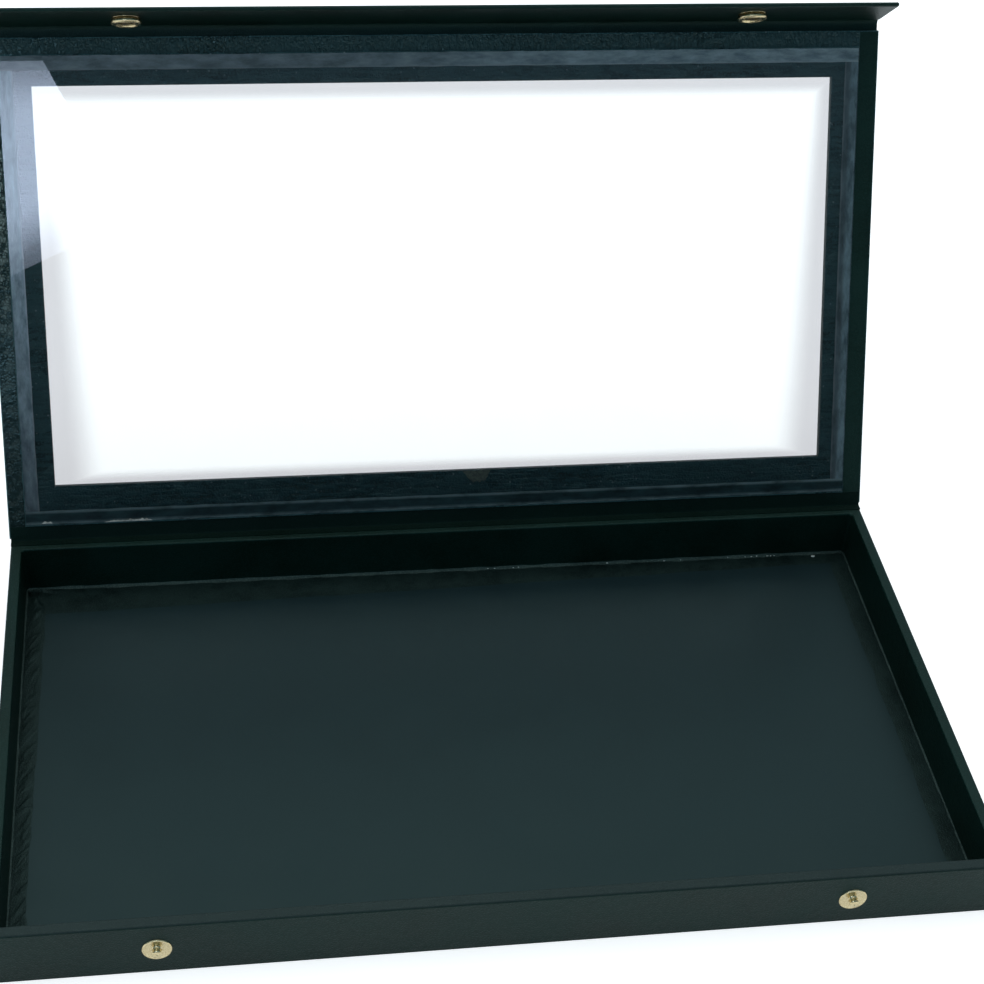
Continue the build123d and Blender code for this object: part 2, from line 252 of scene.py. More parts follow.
def flat_sheet(name: str, low: Point, high: Point, level: float, cell: float, cell_y: float = 0.0) -> Object:
    """Adds a flat sheet divided into cells, as the start of a piece.

    Args:
        name: The piece's name.
        low: Its lowest corner in X and Y.
        high: Its highest corner in X and Y.
        level: Its height.
        cell: The size of a cell, in X and Y alike.
        cell_y: The size of a cell in Y, where it is another.

    Returns:
        The new object, with its size applied.
    """
    bpy.ops.object.select_all(action="DESELECT")
    width, length = high[0] - low[0], high[1] - low[1]
    bpy.ops.mesh.primitive_grid_add(
        x_subdivisions=max(1, round(width / cell)), y_subdivisions=max(1, round(length / (cell_y or cell))),
        size=1, location=((low[0] + high[0]) / 2, (low[1] + high[1]) / 2, level),
    )
    piece = bpy.context.object
    piece.scale = (width, length, 1)
    bpy.ops.object.transform_apply(location=True, rotation=True, scale=True)
    piece.name = piece.data.name = name
    return piece


def shape_points(piece: Object, shape: Callable[[Vector], Vector]) -> None:
    """Moves each vertex of a piece to where a function of its place says.

    Args:
        piece: The piece to shape.
        shape: Gives a vertex's new place from its old one.
    """
    for vertex in piece.data.vertices:
        vertex.co = shape(vertex.co)
    piece.data.update()


def thin_sheet(flat: Object, shape: Callable[[Vector], Vector], thickness: float, upward: bool) -> Object:
    """Shapes a flat sheet and gives it its thickness.

    Args:
        flat: The flat sheet.
        shape: Gives a vertex's new place from its old one.
        thickness: The finished sheet's thickness.
        upward: Whether it grows above the flat sheet or below it.

    Returns:
        The same object, now closed.
    """
    shape_points(flat, shape)
    apply_modifier(flat, "SOLIDIFY", thickness=thickness, offset=1 if upward else -1)
    return flat


def cut_window(piece: Object, low: Point, high: Point) -> None:
    """Cuts a rectangular window out of a flat sheet.

    Args:
        piece: The sheet.
        low: The window's lowest corner.
        high: The window's highest corner.
    """
    with editing(piece):
        for axis in (0, 1):
            normal = Vector((1 - axis, axis, 0))
            for corner in (low, high):
                bpy.ops.mesh.select_all(action="SELECT")
                bpy.ops.mesh.bisect(plane_co=normal * corner[axis], plane_no=normal)
        pick(piece, Part.FACES, lambda f: all(low[i] < middle_of(f)[i] < high[i] for i in (0, 1)))
        bpy.ops.mesh.delete(type="FACE")


def turned(name: str, outline: Sequence[Point], steps: int = 64) -> Object:
    """Turns an outline about the Z axis, as on a lathe.

    Args:
        name: The piece's name.
        outline: Points (radius, height) in millimetres. An outline that starts and ends on the
            axis makes a closed disc or post, and one that returns to its first point a ring.
        steps: How many steps make the full turn.

    Returns:
        The new object.
    """
    points = [(radius * MM, height * MM) for radius, height in outline]
    bpy.ops.object.select_all(action="DESELECT")
    bpy.ops.mesh.primitive_plane_add(size=MM, location=(0, 0, 0))
    piece = bpy.context.object
    piece.name = piece.data.name = name
    with editing(piece):
        bpy.ops.mesh.select_all(action="SELECT")
        bpy.ops.mesh.merge(type="CENTER")
        bpy.ops.mesh.select_mode(type="VERT")
        bpy.ops.mesh.select_all(action="SELECT")
        bpy.ops.transform.translate(value=(points[0][0], 0, points[0][1]))
        for start, end in zip(points, points[1:]):
            step = (end[0] - start[0], 0, end[1] - start[1])
            bpy.ops.mesh.extrude_vertices_move(TRANSFORM_OT_translate={"value": step})
        bpy.ops.mesh.select_all(action="SELECT")
        bpy.ops.mesh.spin(steps=steps, angle=2 * math.pi, center=(0, 0, 0), axis=(0, 0, 1))
        bpy.ops.mesh.select_all(action="SELECT")
        bpy.ops.mesh.remove_doubles(threshold=0.2 * TOUCH)
        bpy.ops.mesh.normals_make_consistent(inside=False)
    return piece


def copy_of(model: Object, name: str) -> Object:
    """Copies a piece.

    Args:
        model: The piece to copy.
        name: The copy's name.

    Returns:
        The copy, with a mesh of its own.
    """
    piece = model.copy()
    piece.data = model.data.copy()
    piece.name = piece.data.name = name
    bpy.context.scene.collection.objects.link(piece)
    return piece


def rounded_path(points: Sequence[Point], radius: float, steps: int = 8) -> list[Point]:
    """Rounds the inner corners of a path with arcs.

    Args:
        points: The path's corners.
        radius: The radius of every arc.
        steps: Points along each arc.

    Returns:
        The path's points, arcs included.
    """
    path = [Vector(points[0])]
    for before, corner, after in zip(points, points[1:], points[2:]):
        here = Vector(corner)
        back, ahead = (Vector(before) - here).normalized(), (Vector(after) - here).normalized()
        half = back.angle(ahead) / 2
        reach = radius / math.tan(half)
        centre = here + (back + ahead).normalized() * (radius / math.sin(half))
        first, last = here + back * reach - centre, here + ahead * reach - centre
        sweep = first.angle_signed(last)
        for step in range(steps + 1):
            spoke = first.copy()
            spoke.rotate(Matrix.Rotation(-sweep * step / steps, 2))
            path.append(centre + spoke)
    path.append(Vector(points[-1]))
    return [(p.x, p.y) for p in path]


def along_path(path: Sequence[Point], distance: float) -> Point:
    """Finds a place on a path.

    Args:
        path: The path's points.
        distance: How far the place is from the path's start.

    Returns:
        The place.
    """
    for start, end in zip(path, path[1:]):
        run = math.dist(start, end)
        if distance <= run or end is path[-1]:
            share = distance / run if run else 0
            return (start[0] + (end[0] - start[0]) * share, start[1] + (end[1] - start[1]) * share)
        distance -= run
    return path[-1]


def strip_along(name: str, half_width: float, path: Sequence[Point], thickness: float) -> Object:
    """Makes a strip of sheet that follows a path in the YZ plane, centred on X.

    Args:
        name: The piece's name.
        half_width: Half the strip's length along X.
        path: The points (y, z) of its middle line.
        thickness: The sheet's thickness.

    Returns:
        The new object, already in the frame.
    """
    length = sum(math.dist(a, b) for a, b in zip(path, path[1:]))
    piece = flat_sheet(name, (-half_width, 0), (half_width, length), 0, *STRIP_CELLS)
    shape_points(piece, lambda co: Vector((co.x, *along_path(path, co.y))))
    apply_modifier(piece, "SOLIDIFY", thickness=thickness, offset=0, use_even_offset=True)
    with editing(piece):
        bpy.ops.mesh.select_all(action="SELECT")
        bpy.ops.mesh.normals_make_consistent(inside=False)
    return piece


def ripple(co: Vector, size: float, depth: float) -> float:
    """Returns a smooth random height at a place, up to about depth, for waves of a given size."""
    return depth * noise.noise(co / size)


def wander(co: Vector, axis: int, share: float, size: float, depth: float) -> Vector:
    """Shifts a place across a strip by a wave that runs along it.

    Args:
        co: The place.
        axis: The axis across the strip, 0 for X or 1 for Y.
        share: How much of the wave this place takes.
        size: The wave's size.
        depth: The wave's depth.

    Returns:
        The shifted place.
    """
    run = Vector((co.x, co.y, 0))
    run[axis] = 0
    moved = co.copy()
    moved[axis] += share * ripple(run, size, depth)
    return moved


# Colours and shader nodes


def srgb(code: str) -> tuple[float, float, float, float]:
    """Turns an sRGB hex code such as "#1a2b2c" into linear RGBA.

    Args:
        code: The hex code.

    Returns:
        Red, green and blue in linear light, and an alpha of 1.
    """
    channels = [int(code[i:i + 2], 16) / 255 for i in (1, 3, 5)]
    linear = [c / 12.92 if c <= 0.04045 else ((c + 0.055) / 1.055) ** 2.4 for c in channels]
    return (*linear, 1.0)


def add_node(
    tree: NodeTree, kind: str, inputs: dict[Any, Any] | Sequence[Any] = (),
    stops: Sequence[tuple[float, str]] = (), **settings: Any,
) -> Node:
    """Adds a node with its settings and links.

    Args:
        tree: The node tree.
        kind: The node's type, without the words that every shader node's type starts with.
        inputs: What the inputs get, in order or by name or number: a value, a hex colour, a
            socket, or a node whose first usable output feeds the input.
        stops: The places and hex colours of a colour ramp.
        **settings: The node's own settings.

    Returns:
        The new node.
    """
    node = tree.nodes.new("ShaderNode" + kind)
    for setting, value in settings.items():
        setattr(node, setting, value)
    for key, value in (inputs if isinstance(inputs, dict) else dict(enumerate(inputs))).items():
        if isinstance(value, Node):
            value = next(output for output in value.outputs if not output.is_unavailable)
        if isinstance(value, NodeSocket):
            tree.links.new(value, node.inputs[key])
        else:
            node.inputs[key].default_value = srgb(value) if isinstance(value, str) else value
    if stops:
        elements = node.color_ramp.elements
        while len(elements) < len(stops):
            elements.new(0.5)
        for element, (position, code) in zip(elements, stops):
            element.position = position
            element.color = srgb(code)
    return node


def new_material(name: str) -> tuple[Material, NodeTree, NodeSocket]:
    """Starts a material.

    Args:
        name: The material's name.

    Returns:
        The material, its node tree and the place on the object.
    """
    material = bpy.data.materials.new(name)
    material.use_nodes = True
    tree = material.node_tree
    tree.nodes.clear()
    return material, tree, add_node(tree, "TexCoord").outputs["Object"]


# Finishes


@dataclass(frozen=True)
class Leatherette:
    """Vinyl-coated paper, embossed between rollers: near black with a green cast, satin."""

    name: Finish
    ground: str = "#06170f"
    raised: str = "#0e2721"
    gloss_tint: str = "#cefffb"
    specular: float = 0.24
    roughness: float = 0.42
    gloss_change: Point = (-0.03, 0.04)
    tones: Point = (0.35, 0.95)
    pebble: float = 1.0 * MM
    pebble_depth: float = 0.06 * MM
    pebble_rim: float = 0.3
    pebble_tone: float = 0.4
    crease: float = 3.4 * MM
    crease_depth: float = 0.04 * MM
    crease_run: float = 1.0
    crease_tone: float = 0.0
    crease_span: Point = (0.42, 0.64)
    mottle: float = 28 * MM
    # Pale specks, which are dust and painted glints: their size, colour and masks
    speck: float = 0.0
    speck_colour: str = "#8b9c9e"
    speck_rim: Point = (0.08, 0.18)
    speck_chosen: Point = (0.5, 0.7)
    # The Y and Z ranges of a painted highlight along the front rim, and its colour
    rubbed: tuple[Point, Point] | None = None
    rubbed_colour: str = "#262d2c"
    # The Z range over which painted glints come in up a strip, together with the relief, which starts from
    # least_relief
    scuffed_up: Point | None = None
    least_relief: float = 0.06

    def build(self) -> Material:
        """Builds the material: pebbled emboss, longer creases across it, a slight mottle, pale specks and
        painted highlights.

        Returns:
            The material.
        """
        material, tree, place = new_material(self.name.value)
        warp = add_node(tree, "TexNoise", {"Vector": place, "Scale": 1 / self.crease})
        bend = (1.2 * self.pebble,) * 3
        bent = add_node(tree, "VectorMath", (warp.outputs["Color"], bend, place), operation="MULTIPLY_ADD")
        pebbles = add_node(
            tree, "TexVoronoi", {"Vector": bent, "Scale": 1 / self.pebble}, feature="DISTANCE_TO_EDGE"
        )
        domes = add_node(
            tree, "MapRange", (pebbles, 0.0, self.pebble_rim, 0.0, 1.0), interpolation_type="SMOOTHSTEP"
        )
        longer = add_node(tree, "Mapping", {"Vector": place, "Scale": (1 / self.crease_run, 1, 1)})
        creases = add_node(
            tree, "TexNoise", {"Vector": longer, "Scale": 1 / self.crease, "Detail": 3.0, "Roughness": 0.55}
        )
        folds = add_node(tree, "MapRange", (creases, *self.crease_span, 0.0, 1.0))
        mottle = add_node(tree, "TexNoise", {"Vector": place, "Scale": 1 / self.mottle})
        creased = add_node(tree, "Math", (folds, self.crease_tone, mottle), operation="MULTIPLY_ADD")
        tone = add_node(tree, "Math", (domes, self.pebble_tone, creased), operation="MULTIPLY_ADD")
        colour = add_node(tree, "ValToRGB", (tone,), stops=list(zip(self.tones, (self.ground, self.raised))))
        colour = self.worn(tree, place, colour)
        relief: Any = 1.0
        # Painted glints: low on the strip the colour stays the ground, and the relief is shallow
        if self.scuffed_up:
            height = add_node(tree, "SeparateXYZ", (place,)).outputs["Z"]
            relief = add_node(
                tree, "MapRange", (height, *self.scuffed_up, self.least_relief, 1.0),
                interpolation_type="SMOOTHSTEP",
            )
            colour = add_node(tree, "Mix", {0: relief, 6: self.ground, 7: colour}, data_type="RGBA")
        low = add_node(tree, "Bump", {"Height": folds, "Distance": self.crease_depth, "Strength": relief})
        fine = add_node(
            tree, "Bump", {"Height": domes, "Distance": self.pebble_depth, "Strength": relief, "Normal": low}
        )
        ends = (self.roughness + change for change in self.gloss_change)
        gloss = add_node(tree, "MapRange", (mottle, *NOISE_SPAN, *ends))
        skin = add_node(tree, "BsdfPrincipled", {
            "Base Color": colour, "Roughness": gloss, "Normal": fine, "IOR": 1.5,
            "Specular IOR Level": self.specular, "Specular Tint": self.gloss_tint,
        })
        add_node(tree, "OutputMaterial", (skin,))
        return material

    def worn(self, tree: NodeTree, place: NodeSocket, colour: Node) -> Node:
        """Adds pale specks, which are dust and painted glints, and a painted highlight along the front rim.

        Args:
            tree: The node tree.
            place: The place on the object.
            colour: The colour without specks or highlight.

        Returns:
            The colour with its specks and highlight.
        """
        wear = []
        # Pale specks: dust, and painted glints
        if self.speck:
            dots = add_node(tree, "TexVoronoi", {"Vector": place, "Scale": 1 / self.speck})
            near = add_node(tree, "MapRange", (dots, *self.speck_rim, 1.0, 0.0))
            few = add_node(tree, "MapRange", (dots.outputs["Color"], *self.speck_chosen, 0.0, 1.0))
            wear.append((near, few, self.speck_colour))
        # A painted highlight: the front rim is paler where it turns over
        if self.rubbed:
            split = add_node(tree, "SeparateXYZ", (place,))
            near = add_node(tree, "MapRange", (split.outputs["Y"], *self.rubbed[0], 0.0, 1.0))
            high = add_node(tree, "MapRange", (split.outputs["Z"], *self.rubbed[1], 0.0, 1.0))
            wear.append((near, high, self.rubbed_colour))
        for one, other, pale in wear:
            share = add_node(tree, "Math", (one, other), operation="MULTIPLY")
            colour = add_node(tree, "Mix", {0: share, 6: colour, 7: pale}, data_type="RGBA")
        return colour


@dataclass(frozen=True)
class Mottled:
    """A finish in which one noise sets the colour, and the gloss and the relief where it has them."""

    name: Finish
    dull: str
    bright: str
    grain: float
    tones: Point = NOISE_SPAN
    detail: float = 2.0
    harshness: float = 0.5
    swirl: float = 0.0
    roughness: float = 0.5
    gloss_change: Point | None = None
    relief: float = 0.0
    metallic: float = 0.0

    def build(self) -> Material:
        """Builds the material.

        Returns:
            The material.
        """
        material, tree, place = new_material(self.name.value)
        marks = add_node(tree, "TexNoise", {
            "Vector": place, "Scale": 1 / self.grain, "Detail": self.detail, "Roughness": self.harshness,
            "Distortion": self.swirl,
        })
        colour = add_node(
            tree, "ValToRGB", (marks,), stops=[(self.tones[0], self.dull), (self.tones[1], self.bright)]
        )
        skin = add_node(tree, "BsdfPrincipled", {
            "Base Color": colour, "Metallic": self.metallic, "Roughness": self.roughness,
        })
        if self.gloss_change:
            ends = (self.roughness + change for change in self.gloss_change)
            gloss = add_node(tree, "MapRange", (marks, *NOISE_SPAN, *ends))
            tree.links.new(gloss.outputs[0], skin.inputs["Roughness"])
        if self.relief:
            bump = add_node(tree, "Bump", {"Height": marks, "Distance": self.relief})
            tree.links.new(bump.outputs[0], skin.inputs["Normal"])
        add_node(tree, "OutputMaterial", (skin,))
        return material


@dataclass(frozen=True)
class Greyboard(Mottled):
    """Pressed waste-paper board: matt, with short fibres and specks over a grey-brown ground."""

    name: Finish = Finish.BOARD
    dull: str = "#77726a"
    bright: str = "#98938a"
    grain: float = 2.5 * MM
    detail: float = 6.0
    swirl: float = 2.0
    roughness: float = 0.9
    relief: float = 0.05 * MM


@dataclass(frozen=True)
class PressedMetal(Mottled):
    """Thin sheet pressed to shape, plated and tumbled: bright, with faint wear on its high parts."""

    grain: float = 0.5 * MM
    tones: Point = (0.3, 0.62)
    detail: float = 4.0
    harshness: float = 0.6
    gloss_change: Point | None = (0.08, -0.04)
    relief: float = 0.008 * MM
    metallic: float = 1.0


@dataclass(frozen=True)
class ReleasePaper(Mottled):
    """Waxed backing paper of the tape: off white, with a soft mottle of fibres."""

    name: Finish = Finish.PAPER
    dull: str = "#b9b3a6"
    bright: str = "#e9e4da"
    grain: float = 1.2 * MM
    tones: Point = (0.35, 0.6)
    detail: float = 4.0
    roughness: float = 0.6


@dataclass(frozen=True)
class DriedGlue(Mottled):
    """Dried hide glue: pale, waxy and slightly cloudy."""

    name: Finish = Finish.GLUE
    dull: str = "#8f9a94"
    bright: str = "#d3dad5"
    grain: float = 0.8 * MM
    tones: Point = (0.35, 0.65)
    roughness: float = 0.35


@dataclass(frozen=True)
class LidFinish:
    """A finish whose pattern is laid out in the plane of the lid, between two corners."""

    name: str
    low: Point
    high: Point
    hinge: Triple
    lean: float

    def start(self) -> tuple[Material, NodeTree, NodeSocket, NodeSocket, NodeSocket]:
        """Starts the material.

        Returns:
            The material, its node tree, the place on the object, and the places across and
            along the lid, measured from the hinge.
        """
        material, tree, place = new_material(self.name)
        flat = add_node(
            tree, "Mapping", {"Vector": place, "Location": self.hinge, "Rotation": (self.lean, 0, 0)},
            vector_type="TEXTURE",
        )
        split = add_node(tree, "SeparateXYZ", (flat,))
        return material, tree, place, split.outputs["X"], split.outputs["Y"]


@dataclass(frozen=True)
class ClearSheet(LidFinish):
    """Cast acrylic sheet, polished: clear, with grey painted near the window's edges for the shadow seen
    through it.
    """

    clear: str = "#f9f9f9"
    # The colour of the painted shadow at the window's edges
    film: str = "#cdcacc"
    film_edge: float = 0.25
    reach_side: Point = (24 * MM, 10 * MM)
    reach_back: float = 7 * MM
    reach_front: float = 9 * MM

    def build(self) -> Material:
        """Builds the material: the painted shadow fades with the distance from the window's edges.

        Returns:
            The material.
        """
        material, tree, _, across, along = self.start()
        (left, back), (right, front) = self.low, self.high
        reach_side = add_node(tree, "MapRange", (along, back, front, *self.reach_side))
        nearest: Any = 1.0
        for coordinate, edge, inward, reach in (
            (across, left, 1, reach_side), (across, right, -1, reach_side),
            (along, back, 1, self.reach_back), (along, front, -1, self.reach_front),
        ):
            inside = add_node(tree, "Math", (coordinate, inward, -inward * edge), operation="MULTIPLY_ADD")
            share = add_node(tree, "Math", (inside, reach), operation="DIVIDE")
            nearest = add_node(tree, "Math", (nearest, share), operation="MINIMUM")
        cleared = add_node(
            tree, "MapRange", (nearest, self.film_edge, 1.0, 0.0, 1.0), interpolation_type="SMOOTHSTEP"
        )
        colour = add_node(tree, "ValToRGB", (cleared,), stops=[(0.0, self.film), (1.0, self.clear)])
        glass = {"Base Color": colour, "Roughness": 0.0, "IOR": 1.49, "Transmission Weight": 1.0}
        add_node(tree, "OutputMaterial", (add_node(tree, "BsdfPrincipled", glass),))
        return material


@dataclass(frozen=True)
class FilmTape(LidFinish):
    """Double-sided film tape pressed onto leatherette: milky grey, paler along its inner edge."""

    side: Side
    ground: str = "#45626a"
    milk: str = "#90b0b8"
    line: str = "#b4c6cd"
    streak: float = 4 * MM
    run: float = 3.0
    line_width: float = 0.9 * MM
    inner_line: float = 0.8
    outer_line: float = 0.0
    inner_share: float = 1.0
    roughness: float = 0.42
    specular: float = 0.8
    # Where along the strip it darkens, and how bright its darker end stays; on the left strip this is
    # painted shade
    fade: Point = (0.0, 1 * MM)
    fade_share: float = 1.0
    relief: float = 0.04 * MM

    def build(self) -> Material:
        """Builds the material: milky streaks along the strip, darkened towards one end, which on the left
        strip is painted shade.

        Returns:
            The material.
        """
        material, tree, place, *coordinates = self.start()
        crossing = self.side.across
        stretch = (1, 1 / self.run, 1 / self.run) if crossing == 0 else (1 / self.run, 1, 1)
        drawn = add_node(tree, "Mapping", {"Vector": place, "Scale": stretch})
        streaks = add_node(
            tree, "TexNoise", {"Vector": drawn, "Scale": 1 / self.streak, "Detail": 5.0, "Roughness": 0.65}
        )
        colour = add_node(tree, "ValToRGB", (streaks,), stops=[(0.35, self.ground), (0.65, self.milk)])

        outward = -1 if self.side in (Side.LEFT, Side.BACK) else 1
        inner = (self.high if outward < 0 else self.low)[crossing]
        width = self.high[crossing] - self.low[crossing]
        thin = 0.3 * self.line_width
        distance = add_node(
            tree, "Math", (coordinates[crossing], outward, -outward * inner), operation="MULTIPLY_ADD"
        )
        at_inner = add_node(
            tree, "MapRange", (distance, thin, self.line_width, self.inner_line, 0.0),
            interpolation_type="SMOOTHSTEP",
        )
        at_outer = add_node(
            tree, "MapRange", (distance, width - self.line_width, width - thin, 0.0, self.outer_line)
        )
        edges = add_node(tree, "Math", (at_inner, at_outer), operation="MAXIMUM")
        broken = add_node(tree, "MapRange", (streaks, 0.35, 0.55, 0.35, 1.0))
        lined = add_node(tree, "Math", (edges, broken), operation="MULTIPLY")
        edged = add_node(tree, "Mix", {0: lined, 6: colour, 7: self.line}, data_type="RGBA")

        # Darker towards one end of the strip: on the left strip, painted shade down the lid
        lengthwise = add_node(
            tree, "MapRange", (coordinates[1 - crossing], *self.fade, self.fade_share, 1.0)
        )
        crosswise = add_node(
            tree, "MapRange", (distance, 0.3 * width, 0.6 * width, self.inner_share, 1.0),
            interpolation_type="SMOOTHSTEP",
        )
        share = add_node(tree, "Math", (lengthwise, crosswise), operation="MULTIPLY")
        faded = add_node(tree, "Mix", {0: share, 6: "#000000", 7: edged}, data_type="RGBA")
        bump = add_node(tree, "Bump", {"Height": streaks, "Distance": self.relief})
        skin = add_node(tree, "BsdfPrincipled", {
            "Base Color": faded, "Roughness": self.roughness, "Normal": bump,
            "Specular IOR Level": self.specular,
        })
        add_node(tree, "OutputMaterial", (skin,))
        return material


# Places read from the frame


def tilted(origin: Sequence[float], opened: float) -> Matrix:
    """Returns the place of a panel that is opened by an angle about a line along X.

    Args:
        origin: A point of the line.
        opened: The angle from closed, in radians. The panel's Y runs away from the line along
            the panel, and its Z is the normal of its inner face.

    Returns:
        The matrix from the panel's plane to the frame.
    """
    away = Vector((0, -math.cos(opened), math.sin(opened)))
    inward = Vector((0, -math.sin(opened), -math.cos(opened)))
    columns = Matrix((Vector((1, 0, 0)), away, inward)).transposed()
    return Matrix.Translation(Vector(origin)) @ columns.to_4x4()


@dataclass(frozen=True)
class Frame:
    """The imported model's nodes and the places of its moving panels."""

    nodes: dict[str, Object]
    hinge: Vector
    lid: Matrix
    flap: Matrix

    @classmethod
    def read(cls, loaded: dict[str, Any]) -> Frame:
        """Reads the hinge, the fold and their angles from the loaded frame's joints.

        Args:
            loaded: The loaded frame.

        Returns:
            The places of the panels, with the nodes.
        """
        joints = {joint["name"]: joint for joint in loaded["joints"]}
        hinge, fold = joints["lid_hinge"], joints["flap_fold"]
        opened = math.radians(hinge["range_deg"][1])
        folded = -math.radians(fold["range_deg"][0])
        return cls(
            nodes=loaded["nodes"], hinge=Vector(hinge["pos_m"]), lid=tilted(hinge["pos_m"], opened),
            flap=tilted(fold["pos_m"], opened - folded),
        )

    def extent(self, node: str, plane: Matrix) -> tuple[Vector, Vector]:
        """Measures a CAD node in a plane.

        Args:
            node: The node's name.
            plane: The matrix of the plane to measure in.

        Returns:
            The node's lowest and highest corner in that plane.
        """
        inverse = plane.inverted()
        points = [inverse @ v.co for v in self.nodes[node].data.vertices]
        return tuple(Vector([bound(p[i] for p in points) for i in range(3)]) for bound in (min, max))


def dress(piece: Object, material: Material) -> None:
    """Gives a piece its one material."""
    piece.data.materials.clear()
    piece.data.materials.append(material)


def hand_over(
    piece: Object, material: Material, body: str | None, replaced: Sequence[str]
) -> None:
    """Dresses a finished piece and says what it rides on and stands for.

    Args:
        piece: The finished piece, in place.
        material: Its material.
        body: The body it rides on, or None where it bends between two.
        replaced: The CAD nodes that it stands for.
    """
    dress(piece, material)
    if replaced:
        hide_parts(*replaced)
    if body:
        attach(piece, body)
    log.info("%s: %d faces, on %s", piece.name, len(piece.data.polygons), body or "two bodies")


@dataclass
class SubAssembly:
    """A part of the box: the frame that it fits, its finishes, and the body that it moves with."""

    frame: Frame
    finishes: dict[Finish, Material]
    body: str | None = None

    @property
    def plane(self) -> Matrix:
        """Returns the matrix from the plane that the pieces are modelled in to the frame."""
        return Matrix.Identity(4)

    def build(self) -> None:
        """Builds and dresses every piece of the sub-assembly."""
        raise NotImplementedError

    def extent(self, node: str) -> tuple[Vector, Vector]:
        """Returns the lowest and highest corner of a CAD node in the sub-assembly's plane."""
        return self.frame.extent(node, self.plane)

    def dress_nodes(self, finish: Finish, *nodes: str) -> None:
        """Gives a finish to CAD nodes that stay as they are."""
        for node in nodes:
            dress(self.frame.nodes[node], self.finishes[finish])

    def install(self, piece: Object, finish: Finish | Material, slot: str, *replaced: str) -> None:
        """Lays a piece of the sub-assembly in place and hands it over.

        Args:
            piece: The finished piece, in the sub-assembly's plane.
            finish: A shared finish, or the piece's own material.
            slot: The record's material slot. Not used.
            *replaced: The CAD nodes that the piece stands for.
        """
        lay_in_place(piece, self.plane)
        material = self.finishes[finish] if isinstance(finish, Finish) else finish
        hand_over(piece, material, self.body, replaced)


# Tray


